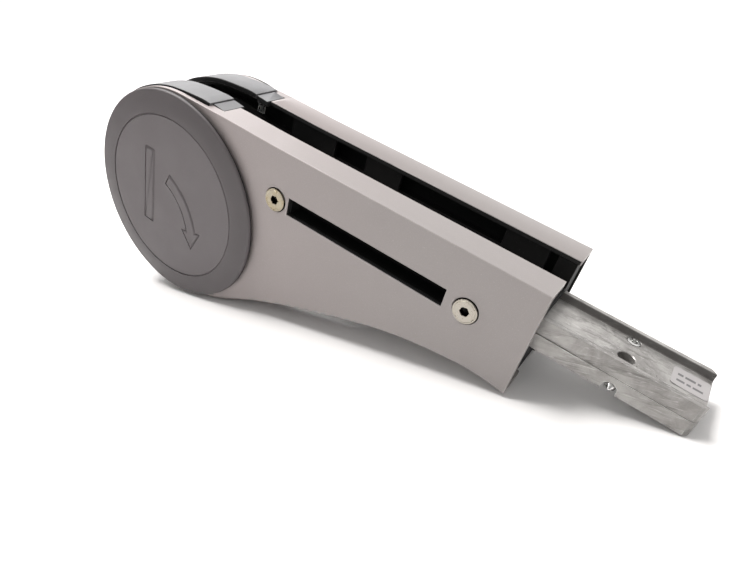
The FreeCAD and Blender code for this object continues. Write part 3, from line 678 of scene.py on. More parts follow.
def grow(obj, tree, **values):
    """Run a tree on the object and keep the result as a plain mesh."""
    modifier = obj.modifiers.new(tree.name, "NODES")
    modifier.node_group = tree
    for item in tree.interface.items_tree:
        label = item.name.lower().replace(" ", "_")
        if item.in_out == "INPUT" and label in values:
            modifier[item.identifier] = values[label]
    return settle(obj)


# ---------------------------------------------------------------- shader helpers
def new_group(name, inputs, outputs):
    group = bpy.data.node_groups.new(name, "ShaderNodeTree")
    for label, kind, value in inputs:
        socket = group.interface.new_socket(label, in_out="INPUT", socket_type="NodeSocket" + kind)
        socket.default_value = value
    for label, kind in outputs:
        group.interface.new_socket(label, in_out="OUTPUT", socket_type="NodeSocket" + kind)
    return group, group.nodes.new("NodeGroupInput"), group.nodes.new("NodeGroupOutput")


def feed(tree, entry, socket):
    """Give an input a number, a colour or the output of another node."""
    if isinstance(entry, (int, float)):
        socket.default_value = entry
    elif isinstance(entry, tuple):
        socket.default_value = (*entry, 1.0)
    else:
        tree.links.new(entry, socket)


def maths(tree, operation, first, second=0.0, clamp=False):
    node = tree.nodes.new("ShaderNodeMath")
    node.operation = operation
    node.use_clamp = clamp
    feed(tree, first, node.inputs[0])
    feed(tree, second, node.inputs[1])
    return node.outputs[0]


def scaled(tree, value, factor):
    return maths(tree, "MULTIPLY", value, factor)


def noise(tree, scale, detail=3.0, roughness=0.5, vector=None, distortion=0.0):
    node = tree.nodes.new("ShaderNodeTexNoise")
    feed(tree, scale, node.inputs["Scale"])
    node.inputs["Detail"].default_value = detail
    node.inputs["Roughness"].default_value = roughness
    node.inputs["Distortion"].default_value = distortion
    tree.links.new(vector or object_coords(tree), node.inputs["Vector"])
    return node.outputs["Fac"]


def attribute(tree, name):
    """A value that the mesh carries on its faces or points."""
    node = tree.nodes.new("ShaderNodeAttribute")
    node.attribute_name = name
    return node.outputs["Fac"]


def distance_along(tree):
    """Distance from the pivot axis along the floor, in metres."""
    node = tree.nodes.new("ShaderNodeSeparateXYZ")
    tree.links.new(object_coords(tree), node.inputs["Vector"])
    return node.outputs["X"]


def object_coords(tree):
    for node in tree.nodes:
        if node.bl_idname == "ShaderNodeTexCoord":
            return node.outputs["Object"]
    return tree.nodes.new("ShaderNodeTexCoord").outputs["Object"]


def stretched(tree, scale):
    """Coordinates that follow the tilted arm, scaled by their own amount on each axis."""
    node = tree.nodes.new("ShaderNodeMapping")
    node.inputs["Rotation"].default_value = (0, REST_TILT, 0)
    node.inputs["Scale"].default_value = scale
    tree.links.new(object_coords(tree), node.inputs["Vector"])
    return node.outputs["Vector"]


def spread(tree, value, low, high, to_low=0.0, to_high=1.0):
    """Map a stretch of values onto another, held at its ends."""
    node = tree.nodes.new("ShaderNodeMapRange")
    node.inputs["From Min"].default_value = low
    node.inputs["From Max"].default_value = high
    node.inputs["To Min"].default_value = to_low
    node.inputs["To Max"].default_value = to_high
    tree.links.new(value, node.inputs["Value"])
    return node.outputs["Result"]


def blend_colours(tree, share, first, second):
    node = tree.nodes.new("ShaderNodeMix")
    node.data_type = "RGBA"
    for socket, entry in ((node.inputs[0], share), (node.inputs[6], first), (node.inputs[7], second)):
        feed(tree, entry, socket)
    return node.outputs[2]


def overlay(tree, base, colour, mask, strength):
    """Lay a colour over the base where the mask says, at most as strongly as given."""
    return blend_colours(tree, scaled(tree, mask, strength), base, colour)


def make_grain_group():
    """Fine moulded or sprayed grain: a height and a mask of its high spots."""
    group, entry, leave = new_group("surface_grain", [("Scale", "Float", 2500.0), ("Softness", "Float", 0.5)],
                                    [("Height", "Float"), ("Specks", "Float")])
    fine = noise(group, entry.outputs["Scale"], 2.0, 0.6)
    coarse = noise(group, scaled(group, entry.outputs["Scale"], 0.23), 3.0, 0.5)
    mixed = maths(group, "ADD", scaled(group, fine, 0.6), scaled(group, coarse, 0.4))
    group.links.new(mixed, leave.inputs["Height"])
    group.links.new(spread(group, fine, 0.58, 0.75), leave.inputs["Specks"])
    return group


def make_wear_group():
    """Rubbed edges: where a rounded corner would turn away from the face, broken up by noise."""
    group, entry, leave = new_group("edge_wear", [("Amount", "Float", 0.5), ("Breakup", "Float", 90.0)],
                                    [("Mask", "Float")])
    geometry = group.nodes.new("ShaderNodeNewGeometry")
    corner = group.nodes.new("ShaderNodeBevel")
    corner.samples = 4
    corner.inputs["Radius"].default_value = 0.0005
    match = group.nodes.new("ShaderNodeVectorMath")
    match.operation = "DOT_PRODUCT"
    group.links.new(corner.outputs["Normal"], match.inputs[0])
    group.links.new(geometry.outputs["Normal"], match.inputs[1])
    edge = spread(group, match.outputs["Value"], 0.995, 0.90)
    broken = spread(group, noise(group, entry.outputs["Breakup"], 5.0, 0.65), 0.38, 0.60)
    mask = maths(group, "MULTIPLY", edge, broken, True)
    group.links.new(maths(group, "MULTIPLY", mask, entry.outputs["Amount"], True), leave.inputs["Mask"])
    return group


def make_handling_group():
    """Wide, faint variation from handling, dust and light wiping."""
    group, entry, leave = new_group("handling_marks", [("Scale", "Float", 14.0)],
                                    [("Drift", "Float"), ("Smudge", "Float"), ("Dust", "Float")])
    wide = noise(group, entry.outputs["Scale"], 2.0, 0.5)
    smear = noise(group, scaled(group, entry.outputs["Scale"], 3.5), 5.0, 0.62, distortion=0.6)
    motes = noise(group, 1400.0, 1.0, 0.4)
    group.links.new(wide, leave.inputs["Drift"])
    group.links.new(spread(group, smear, 0.40, 0.70), leave.inputs["Smudge"])
    group.links.new(spread(group, motes, 0.735, 0.79), leave.inputs["Dust"])
    return group


GRAIN = make_grain_group()
WEAR = make_wear_group()
HANDLING = make_handling_group()


def use_group(tree, group, **values):
    node = tree.nodes.new("ShaderNodeGroup")
    node.node_tree = group
    for label, value in values.items():
        node.inputs[label.capitalize()].default_value = value
    return node


def start_material(name, roughness, metallic=0.0, specular=0.5, coat=0.0, coat_roughness=0.2):
    material = bpy.data.materials.new(name)
    material.use_nodes = True
    tree = material.node_tree
    shader = tree.nodes["Principled BSDF"]
    shader.inputs["Roughness"].default_value = roughness
    shader.inputs["Metallic"].default_value = metallic
    shader.inputs["Specular IOR Level"].default_value = specular
    shader.inputs["Coat Weight"].default_value = coat
    shader.inputs["Coat Roughness"].default_value = coat_roughness
    return material, tree, shader


def bump(tree, shader, height, strength, distance):
    node = tree.nodes.new("ShaderNodeBump")
    node.inputs["Strength"].default_value = strength
    node.inputs["Distance"].default_value = distance
    tree.links.new(height, node.inputs["Height"])
    tree.links.new(node.outputs["Normal"], shader.inputs["Normal"])


BLACK = (0.006, 0.006, 0.006)


def brighter(colour, factor, lift=0.0):
    return tuple(min(1.0, channel * factor + lift) for channel in colour)


def moulded_plastic(name, colour, lighter, roughness, grain_scale, grain_depth, wear=0.3, shine=0.42,
                    ring_colour=None):
    """Matte moulded plastic with spark-eroded grain, faint drift and rubbed corners."""
    material, tree, shader = start_material(name, roughness, specular=shine)
    grain = use_group(tree, GRAIN, scale=grain_scale)
    marks = use_group(tree, HANDLING, scale=16.0)
    edges = use_group(tree, WEAR, amount=wear, breakup=120.0)
    base = overlay(tree, colour, lighter, marks.outputs["Drift"], 0.55)
    base = overlay(tree, base, lighter, grain.outputs["Specks"], 0.16)
    base = blend_colours(tree, edges.outputs["Mask"], base, brighter(lighter, 2.2, 0.02))
    base = overlay(tree, base, brighter(lighter, 2.0, 0.06), marks.outputs["Dust"], 0.25)
    if ring_colour:
        base = overlay(tree, base, ring_colour, attribute(tree, "outer_ring"), 0.55)
    # Painted shade: the marked sides, ends and neck are turned black.
    base = overlay(tree, base, BLACK, attribute(tree, "painted_shade"), 0.96)
    tree.links.new(base, shader.inputs["Base Color"])
    rough = maths(tree, "ADD", scaled(tree, marks.outputs["Smudge"], -0.08), roughness + 0.04)
    rough = maths(tree, "ADD", rough, scaled(tree, grain.outputs["Height"], 0.10), True)
    tree.links.new(rough, shader.inputs["Roughness"])
    bump(tree, shader, grain.outputs["Height"], 0.35, grain_depth)
    return material


def metallic_paint():
    """Satin taupe paint with a fine metallic flake; the hollow and the gap edges get a painted shade of
    black.
    """
    material, tree, shader = start_material("shell_paint", 0.4, 0.15, 0.4, 0.1, 0.25)
    grain = use_group(tree, GRAIN, scale=3800.0)
    marks = use_group(tree, HANDLING, scale=9.0)
    edges = use_group(tree, WEAR, amount=0.5, breakup=140.0)
    inside = attribute(tree, "inside")
    warmth = spread(tree, distance_along(tree), 0.02, 0.16)
    base = blend_colours(tree, warmth, (0.285, 0.246, 0.242), (0.272, 0.250, 0.244))
    base = overlay(tree, base, (0.31, 0.285, 0.278), marks.outputs["Drift"], 0.25)
    base = overlay(tree, base, (0.46, 0.44, 0.43), grain.outputs["Specks"], 0.3)
    base = blend_colours(tree, edges.outputs["Mask"], base, (0.68, 0.64, 0.63))
    base = overlay(tree, base, (0.60, 0.58, 0.56), marks.outputs["Dust"], 0.12)
    # Painted shade: the faces marked inside are turned black.
    base = blend_colours(tree, inside, base, BLACK)
    tree.links.new(base, shader.inputs["Base Color"])
    rough = maths(tree, "ADD", scaled(tree, marks.outputs["Smudge"], -0.02), 0.42)
    rough = maths(tree, "ADD", rough, scaled(tree, grain.outputs["Height"], 0.06), True)
    rough = maths(tree, "ADD", rough, scaled(tree, inside, 0.3), True)
    tree.links.new(rough, shader.inputs["Roughness"])
    outside = maths(tree, "SUBTRACT", 1.0, inside)
    tree.links.new(scaled(tree, outside, 0.15), shader.inputs["Metallic"])
    tree.links.new(scaled(tree, outside, 0.1), shader.inputs["Coat Weight"])
    bump(tree, shader, grain.outputs["Height"], 0.16, 0.00004)
    return material


def cast_metal():
    """Raw die cast: cloudy grey, flow streaks along the bar, pits and small bright scuffs."""
    material, tree, shader = start_material("cast_alloy", 0.38, 0.5, 0.5)
    clouds = noise(tree, 70.0, 6.0, 0.66, distortion=0.5)
    streaks = noise(tree, 9.0, 8.0, 0.72, stretched(tree, (2.4, 22.0, 22.0)), 1.1)
    fine = noise(tree, 16.0, 6.0, 0.7, stretched(tree, (6.0, 60.0, 60.0)), 0.8)
    pits = noise(tree, 1500.0, 2.0, 0.5)
    skin = noise(tree, 420.0, 4.0, 0.6)
    edges = use_group(tree, WEAR, amount=0.9, breakup=70.0)
    base = blend_colours(tree, spread(tree, clouds, 0.38, 0.62), (0.25, 0.24, 0.23), (0.42, 0.41, 0.395))
    base = blend_colours(tree, spread(tree, streaks, 0.50, 0.62, 0.0, 0.7), base, (0.12, 0.114, 0.108))
    base = blend_colours(tree, spread(tree, fine, 0.56, 0.70, 0.0, 0.6), base, (0.74, 0.73, 0.71))
    base = blend_colours(tree, edges.outputs["Mask"], base, (0.88, 0.87, 0.85))
    along = distance_along(tree)
    # Lighter near the shells and darker further out along the bar.
    lighter_near_shells = spread(tree, along, 0.205, 0.238, 0.45, 0.0)
    darker_further_out = spread(tree, along, 0.245, 0.278, 0.0, 0.28)
    base = blend_colours(tree, lighter_near_shells, base, (0.62, 0.60, 0.58))
    base = blend_colours(tree, darker_further_out, base, (0.16, 0.15, 0.145))
    # Painted shade on the tongue's shadowed walls, creases and near side.
    base = overlay(tree, base, (0.07, 0.066, 0.062), attribute(tree, "grime"), 0.8)
    tree.links.new(base, shader.inputs["Base Color"])
    rough = maths(tree, "ADD", spread(tree, clouds, 0.3, 0.7, 0.26, 0.44),
                  spread(tree, streaks, 0.5, 0.7, 0.0, 0.14))
    tree.links.new(rough, shader.inputs["Roughness"])
    height = maths(tree, "ADD", scaled(tree, skin, 0.7), scaled(tree, streaks, 1.3))
    height = maths(tree, "ADD", height, scaled(tree, fine, 0.6))
    height = maths(tree, "ADD", height, spread(tree, pits, 0.70, 0.78, 0.0, -0.8))
    bump(tree, shader, height, 0.6, 0.00016)
    return material


FAR_SCREW_TINT = (0.38, 0.36, 0.33)


def plated_steel(name, colour, tint, roughness, ring_depth=0.0):
    """Zinc-plated steel with a cloudy plating tint; turned rings where the piece carries a radius."""
    material, tree, shader = start_material(name, roughness, 1.0, 0.5)
    clouds = noise(tree, 260.0, 4.0, 0.6, distortion=0.5)
    fine = noise(tree, 2600.0, 3.0, 0.6)
    edges = use_group(tree, WEAR, amount=0.7, breakup=300.0)
    base = blend_colours(tree, spread(tree, clouds, 0.35, 0.68), colour, tint)
    if ring_depth > 0:
        # The screw further along the arm is paler.
        base = blend_colours(tree, spread(tree, distance_along(tree), 0.11, 0.15, 0.0, 0.75), base, FAR_SCREW_TINT)
    base = blend_colours(tree, edges.outputs["Mask"], base, brighter(tint, 1.5))
    # Painted shade: the hexagon socket is turned near-black.
    base = blend_colours(tree, attribute(tree, "socket"), base, (0.008, 0.008, 0.008))
    tree.links.new(base, shader.inputs["Base Color"])
    rough = spread(tree, clouds, 0.3, 0.7, roughness - 0.06, roughness + 0.10)
    tree.links.new(rough, shader.inputs["Roughness"])
    height = scaled(tree, fine, 0.5)
    if ring_depth > 0:
        rings = maths(tree, "SINE", scaled(tree, attribute(tree, "turned_radius"), 16.0))
        height = maths(tree, "ADD", height, scaled(tree, rings, ring_depth))
    bump(tree, shader, height, 0.3, 0.00004)
    return material


def oiled_bronze():
    """Sintered bronze with dark pores."""
    material, tree, shader = start_material("bush_bronze", 0.34, 1.0, 0.5)
    clouds = noise(tree, 190.0, 5.0, 0.6)
    pores = noise(tree, 2200.0, 2.0, 0.5)
    base = blend_colours(tree, spread(tree, clouds, 0.35, 0.65), (0.50, 0.33, 0.17), (0.66, 0.47, 0.27))
    base = blend_colours(tree, spread(tree, pores, 0.62, 0.72, 0.0, 0.6), base, (0.12, 0.08, 0.04))
    tree.links.new(base, shader.inputs["Base Color"])
    tree.links.new(spread(tree, clouds, 0.3, 0.7, 0.28, 0.44), shader.inputs["Roughness"])
    bump(tree, shader, pores, 0.3, 0.00005)
    return material


def label_paper():
    """White label, given a grey base as painted shade of the channel it lies in, with two rows of plain
    printed bars.
    """
    material, tree, shader = start_material("label_paper", 0.42, specular=0.4)
    fibres = noise(tree, 900.0, 5.0, 0.65)
    shade = noise(tree, 120.0, 3.0, 0.5)
    # Painted shade: the white paper is given a grey base.
    base = blend_colours(tree, shade, (0.32, 0.305, 0.305), (0.37, 0.355, 0.355))
    ink = blend_colours(tree, fibres, (0.035, 0.035, 0.037), (0.11, 0.11, 0.115))
    base = overlay(tree, base, ink, attribute(tree, "print_mask"), 0.85)
    tree.links.new(base, shader.inputs["Base Color"])
    tree.links.new(spread(tree, fibres, 0.3, 0.7, 0.36, 0.5), shader.inputs["Roughness"])
    bump(tree, shader, fibres, 0.15, 0.00003)
    return material


def stop_rubber():
    """Black rubber with a little grey bloom."""
    material, tree, shader = start_material("stop_rubber", 0.7, specular=0.35)
    bloom = noise(tree, 130.0, 4.0, 0.6)
    grain = use_group(tree, GRAIN, scale=1500.0)
    greyed = spread(tree, bloom, 0.4, 0.7, 0.0, 0.7)
    base = blend_colours(tree, greyed, (0.014, 0.014, 0.014), (0.05, 0.05, 0.048))
    tree.links.new(base, shader.inputs["Base Color"])
    tree.links.new(spread(tree, bloom, 0.3, 0.7, 0.62, 0.8), shader.inputs["Roughness"])
    bump(tree, shader, grain.outputs["Height"], 0.4, 0.00008)
    return material


FINISHES = {
    "shell_paint": metallic_paint(),
    "cap_plastic": moulded_plastic("cap_plastic", (0.098, 0.086, 0.090), (0.120, 0.107, 0.111), 0.46,
                                   2600.0, 0.00006, 0.2, ring_colour=(0.058, 0.051, 0.053)),
    "rim_plastic": moulded_plastic("rim_plastic", (0.135, 0.135, 0.140), (0.165, 0.165, 0.171), 0.48,
                                   2600.0, 0.00005),
    # Black plastic and black paint: their own black, made darker still as painted shade of the deep gap.
    "black_plastic": moulded_plastic("black_plastic", (0.004, 0.004, 0.004), (0.009, 0.0085, 0.009), 0.58,
                                     2000.0, 0.00005, 0.05, 0.15),
    "black_paint": moulded_plastic("black_paint", (0.006, 0.006, 0.006), (0.012, 0.0115, 0.0115), 0.55,
                                   1300.0, 0.00008, 0.2, 0.2),
    "cast_alloy": cast_metal(),
    "zinc_screw": plated_steel("zinc_screw", (0.25, 0.21, 0.135), (0.33, 0.30, 0.24), 0.28, 0.5),
    "bright_steel": plated_steel("bright_steel", (0.62, 0.62, 0.61), (0.76, 0.76, 0.75), 0.26),
    "hub_steel": plated_steel("hub_steel", (0.36, 0.36, 0.37), (0.50, 0.50, 0.50), 0.32),
    "bush_bronze": oiled_bronze(),
    "stop_rubber": stop_rubber(),
    "label_paper": label_paper(),
}


def paint(obj, finish):
    obj.data.materials.clear()
    obj.data.materials.append(FINISHES[finish])


# ---------------------------------------------------------------- placing pieces
NODE_SLOT = {part["node"]: part["material_slot"] for part in frame["record"]["subparts"]}
NODE_BODY = {node: body for body, nodes in frame["record"]["behaviour"]["bodies"].items() for node in nodes}


def stand(obj, node):
    """Tip a piece from the level arm frame to where it stands, and tie it to its node."""
    obj.data.transform(ARM_TO_ROW)
    settle_in(obj, node)


def settle_in(obj, node):
    """Give a piece its finish, its body and the node that it stands in for."""
    paint(obj, NODE_SLOT[node])
    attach(obj, NODE_BODY[node])
    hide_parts(node)


def refine(node):
    """A merged, softly edged copy of a node whose shape is already right."""
    copy = bpy.data.objects.new(node + "_fine", frame["nodes"][node].data.copy())
    bpy.context.scene.collection.objects.link(copy)
    copy.data.transform(Matrix.Scale(1 / MM, 4))
    work = bmesh.new()
    work.from_mesh(copy.data)
    bmesh.ops.remove_doubles(work, verts=work.verts, dist=0.002)
    bmesh.ops.dissolve_limit(work, angle_limit=math.radians(0.6), verts=work.verts, edges=work.edges)
    work.to_mesh(copy.data)
    work.free()
    soften(copy, 0.25)
    polish(copy)
    copy.data.transform(Matrix.Scale(MM, 4))
    settle_in(copy, node)


# ---------------------------------------------------------------- rim covers
BAND_START = 360 + BELLY_START - 0.7    # degrees round the rim, at the belly
BAND_END = 97                 # degrees, at the top, where the ramp to the tab begins
BAND_DIP = 0.9                # how much lower the band lies over the top
DIP_START = 138.0             # degrees; going up the rim, the band starts to dip here
DIP_RUN = 32.0                # degrees until it is fully down
BRIDGE_CREST = (11.0, 0.1)    # highest place of the ramp: x, height above the rim


def band_radius(degrees):
    """Radius of the band's middle line, which dips smoothly towards the top."""
    share = min(1.0, max(0.0, (DIP_START - degrees) / DIP_RUN))
    return RIM_RADIUS - RIM_THICKNESS / 2 - BAND_DIP * share * share * (3 - 2 * share)


def make_rim_cover(strip):
    """Band round the open rim with its ramp, and the snap tab beyond it."""
    steps = 110
    degrees = [BAND_START + (BAND_END - BAND_START) * step / steps for step in range(steps + 1)]
    line = [polar(band_radius(angle), angle) for angle in degrees]
    tab_tip = TOP_HEIGHT + BROW_START[1]
    half = RIM_THICKNESS / 2
    crest = Vector((BRIDGE_CREST[0], RIM_RADIUS + BRIDGE_CREST[1] - half))
    ramp = [line[-1], crest, Vector((TAB_START - 0.35, tab_tip + TAB_RISE + TAB_STEP - half))]
    line += smooth_through(ramp, (1, 0.12), (1, -0.12), 6)
    band_y = -(RIM_OUTER_Y + RIM_INNER_Y) / 2
    band = new_object("front_rim_cover_band", [], [])
    band.data.from_pydata([(p.x, band_y, p.y) for p in line], [(i, i + 1) for i in range(len(line) - 1)], [])
    grow(band, strip, width=RIM_OUTER_Y - RIM_INNER_Y, thickness=RIM_THICKNESS, rounding=0.45,
         material=FINISHES["rim_plastic"])
    merged = join_meshes("front_rim_cover_band", [band, make_tab(tab_tip)])
    tidy_mesh(merged)
    mark_sides(merged)
    polish(merged, 40.0)
    return merged


def mark_sides(cover):
    """Mark the sides and ends, which get a painted shade of black."""
    def painted_shade(face):
        beyond = face.center.x > TAB_START - 0.3 and abs(face.normal.x) > 0.5
        return float(abs(face.normal.y) > 0.55 or beyond)

    mark_faces(cover, "painted_shade", painted_shade)


def make_tab(tip):
    """Tab whose top falls from its root to its tip."""
    x0 = TAB_START + 0.3
    x1 = TAB_END
    y0 = tab_front_y()
    y1 = -RIM_INNER_Y - 0.4
    corners = rounded([(x0, y0), (x1, y0), (x1, y1), (x0, y1)], 0.6)
    rings = []
    for inset, level in ((0.0, -RIM_THICKNESS), (0.0, -0.3), (0.12, -0.1), (0.3, 0.0)):
        ring = []
        for x, y in corners:
            inner_x = min(max(x, x0 + inset), x1 - inset)
            inner_y = min(max(y, y0 + inset), y1 - inset)
            rise = 0.0 if level == -RIM_THICKNESS else TAB_RISE * (x1 - inner_x) / (x1 - x0)
            ring.append((inner_x, inner_y, tip + rise + level - 0.05))
        rings.append(ring)
    return loft("tab", rings)


def join_meshes(name, parts):
    """One object from several, whose meshes lie in the same frame."""
    work = bmesh.new()
    for part in parts:
        work.from_mesh(part.data)
    merged = new_object(name, [], [])
    work.to_mesh(merged.data)
    work.free()
    for part in parts:
        drop(part)
    merged.name = name
    return merged


# ---------------------------------------------------------------- screws
HEXAGON_ACROSS = 4.0
HEXAGON_TURN = 12.0


def make_screw():
    """Countersunk screw at the origin, head towards -Y, with a hexagon socket."""
    depth = SCREW_TOP - SCREW_TIP
    profile = [(0, 0), (SCREW_HEAD_RADIUS - 1.05, 0), (SCREW_HEAD_RADIUS - 0.95, 0.12),
               (SCREW_HEAD_RADIUS - 0.8, 0.02), (SCREW_HEAD_RADIUS - 0.25, 0.0),
               (SCREW_HEAD_RADIUS, 0.25), (SCREW_HEAD_RADIUS, 0.8),
               (SCREW_RADIUS, 0.8 + SCREW_HEAD_RADIUS - SCREW_RADIUS), (SCREW_RADIUS, depth - 0.6),
               (SCREW_RADIUS - 0.6, depth), (0, depth)]
    screw = lathe("screw", profile, steps=64)
    corner = HEXAGON_ACROSS / 2 / math.cos(math.radians(30))
    hexagon = [polar(corner, 60 * step + HEXAGON_TURN) for step in range(6)]
    rings = []
    for y, scale in ((-0.8, 1.22), (0.45, 1.0), (2.6, 1.0), (3.3, 0.3)):
        rings.append([(p.x * scale, y, p.y * scale) for p in hexagon])
    carve(screw, loft("socket", rings))
    tidy_mesh(screw, 1e-4)

    # The socket's inner faces are marked for painted shade.
    def socket_in_shade(face):
        x, y, z = face.center
        return float(math.hypot(x, z) < corner * 1.15 and 0.15 < y < depth - 1)

    mark_faces(screw, "socket", socket_in_shade)
    radius = screw.data.attributes.new("turned_radius", "FLOAT", "POINT")
    for index, vertex in enumerate(screw.data.vertices):
        radius.data[index].value = math.hypot(vertex.co.x, vertex.co.z)
    polish(screw, 30.0)
    return screw


# ---------------------------------------------------------------- tongue
PARTING_STEP = 0.35
MOULD_MISMATCH = 0.45
FLASH = 0.3
CHANNEL_FLOOR = TONGUE_HEIGHT / 2 - 3.0
LIP = TONGUE_HALF - FLASH - TONGUE_WALL
CREASE = 0.32                 # how far the painted shade spreads from a crease


def tongue_section(narrow, flash):
    """Section of the tongue as (y, z) about its own middle, anticlockwise.

    The two halves of the mould did not quite meet, so the upper half is a little narrower.
    """
    half = TONGUE_HALF - FLASH - narrow
    upper = mould_half(half - MOULD_MISMATCH)
    lower = [(y, -z) for y, z in reversed(mould_half(half))]
    left = [(-half - flash, 0.06), (-half - flash, -0.06)]
    right = [(half + flash, -0.06), (half + flash, 0.06)]
    return upper + left + lower + right


def mould_half(half):
    """One half of the section, from the parting line up and over the channel and down again."""
    high = TONGUE_HEIGHT / 2
    one_side = [(half - 0.1, 0.3), (half - PARTING_STEP, high), (LIP, high), (LIP - 0.9, CHANNEL_FLOOR)]
    return soften_corners(one_side + [(-y, z) for y, z in reversed(one_side)], 0.4)


def soften_corners(points, radius):
    """Round the inner corners of an open run of points."""
    out = [points[0]]
    for before, corner, after in zip(points, points[1:], points[2:]):
        out += fillet(before, corner, after, radius, 0.4, 3)
    out.append(points[-1])
    return out


def ripple(x, seed):
    """A small uneven wave along the bar, as a cast edge has."""
    return (math.sin(x * 0.83 + seed) + math.sin(x * 2.17 + seed * 2.3) + math.sin(x * 5.3 + seed * 5.1)) / 3


def flash_at(x):
    """Ragged flash near the shells, trimmed to a faint line towards the free end."""
    ragged = FLASH * max(0.15, 0.72 + 0.55 * ripple(x, 1.0))
    trimmed = 0.05 + 0.04 * ripple(x, 4.0)
    share = min(1.0, max(0.0, (TONGUE_REACH - 40.0 - x) / 4.0))
    return trimmed + (ragged - trimmed) * share


def make_tongue():
    """Cast bar with its ragged parting line, channels, end chamfers, holes and notch."""
    length = TONGUE_REACH - TONGUE_START
    rings = []
    stations = 150
    for step in range(stations + 1):
        x = TONGUE_START + (length - 2.4) * step / stations
        rings.append(tongue_ring(x, 0.2 * step / stations, flash_at(x), 0.0))
    for along, narrow in ((1.2, 0.8), (0.35, 1.7), (0.0, 2.2)):
        rings.append(tongue_ring(TONGUE_REACH - along, 0.3 + narrow, 0.02, 0.25 if along == 0.0 else 0.0))
    tongue = loft("tongue_cast", rings)
    bottom = CENTRE_LINE - TONGUE_HEIGHT / 2
    outside = -TONGUE_HALF - 3
    notch = rod_profile(NOTCH_RADIUS, outside, -TONGUE_HALF + NOTCH_DEPTH)
    carve(tongue, upright_tool("lock_tool", LOCK.y, LOCK_HOLE_RADIUS),
          upright_tool("grub_tool", GRUB_HOLE_Y, GRUB_HOLE_RADIUS),
          lathe("notch_tool", notch, (LOCK.x, bottom + NOTCH_RISE), 48),
          block("notch_mouth", LOCK.x - NOTCH_RADIUS, LOCK.x + NOTCH_RADIUS, outside,
                -TONGUE_HALF + NOTCH_DEPTH, bottom - 3, bottom + NOTCH_RISE))
    tidy_mesh(tongue, 1e-4)
    mark_faces(tongue, "grime", grime)
    polish(tongue, 34.0)
    return tongue


def grime(face):
    """How much painted shade a face of the tongue gets: shadowed walls and creases most, the near side a
    little.
    """
    y, z = face.center.y, face.center.z - CENTRE_LINE
    outwards = abs(y)
    shaded_wall = y > TONGUE_HALF - 6 and z > CHANNEL_FLOOR + 0.4 and face.normal.y < -0.5
    root = abs(z - CHANNEL_FLOOR) < CREASE and outwards > TONGUE_HALF - 5.6 and abs(face.normal.y) > 0.15
    under_flash = -CREASE < z < -0.05 and outwards > TONGUE_HALF - 2
    lip_edge = abs(outwards - LIP) < 0.45 and z > TONGUE_HEIGHT / 2 - 0.42 and face.normal.z < 0.995
    if shaded_wall or root or under_flash or lip_edge:
        return 1.0
    # Painted shade on the near side, more above the parting line than below.
    near_side = y < -TONGUE_HALF + 2 and face.normal.y < -0.6
    if near_side:
        return 0.25 if z > 0 else 0.1
    return 0.0


def tongue_ring(x, narrow, flash, shrink):
    """One station of the bar; shrink lowers its upper and lower faces."""
    scale = 1 - shrink / TONGUE_HEIGHT
    return [(x, y, CENTRE_LINE + z * scale) for y, z in tongue_section(narrow, flash)]


def upright_tool(name, y, radius):
    """Cutter for a hole square to the channel floor, with a small lead-in at the top."""
    high = CHANNEL_FLOOR
    profile = [(0, -14), (radius, -14), (radius, high - 0.35), (radius + 0.35, high + 0.02), (0, high + 0.02)]
    tool = lathe(name, profile, steps=56)
    upright = Matrix.Rotation(math.radians(90), 4, "X")
    tool.data.transform(Matrix.Translation((LOCK.x, y, CENTRE_LINE)) @ upright)
    return tool


# ---------------------------------------------------------------- label
LABEL_LENGTH = 15.6
LABEL_WIDTH = 13.5
LABEL_MIDDLE_Y = 1.35
LABEL_CORNER = 1.6
LABEL_END_GAP = 0.3
LABEL_FACE = 0.16             # height of the printed side above the channel floor
LABEL_BACK = 0.02
PRINT_HALF_HEIGHT = 0.75
PRINT_ROWS = (
    (4.2, ((2.2, 5.6), (6.4, 8.2), (9.0, 13.2))),
    (8.6, ((2.2, 4.4), (5.2, 9.6), (10.4, 12.0))),
)


def make_label():
    """Thin label with rounded corners and one corner lifting a little."""
    columns = 96
    rows = 84
    x0 = TONGUE_REACH - LABEL_END_GAP - LABEL_LENGTH
    y0 = LABEL_MIDDLE_Y - LABEL_WIDTH / 2
    floor = CENTRE_LINE + CHANNEL_FLOOR
    verts = []
    marks = []
    for layer in (LABEL_FACE, LABEL_BACK):
        for row in range(rows + 1):
            for column in range(columns + 1):
                u = column / columns
                v = row / rows
                x, y = label_point(u, v)
                lift = 0.45 * max(0.0, (1 - u) + (1 - v) - 1.62) ** 1.5 * 3
                verts.append((x0 + x, y0 + y, floor + layer + lift))
                marks.append(printed(x, y) if layer == LABEL_FACE else 0.0)
    stride = columns + 1
    size = stride * (rows + 1)
    faces = []
    for row in range(rows):
        for column in range(columns):
            a = row * stride + column
            faces.append([a, a + 1, a + stride + 1, a + stride])
            faces.append([size + a, size + a + stride, size + a + stride + 1, size + a + 1])
    border = [c for c in range(columns)]
    border += [r * stride + columns for r in range(rows)]
    border += [rows * stride + c for c in range(columns, 0, -1)]
    border += [r * stride for r in range(rows, 0, -1)]
    for first, second in zip(border, border[1:] + border[:1]):
        faces.append([second, first, size + first, size + second])
    label = new_object("label_sheet", verts, faces)
    mask = label.data.attributes.new("print_mask", "FLOAT", "POINT")
    for index, mark in enumerate(marks):
        mask.data[index].value = mark
    label.data.shade_smooth()
    label.data.set_sharp_from_angle(angle=math.radians(40))
    return label


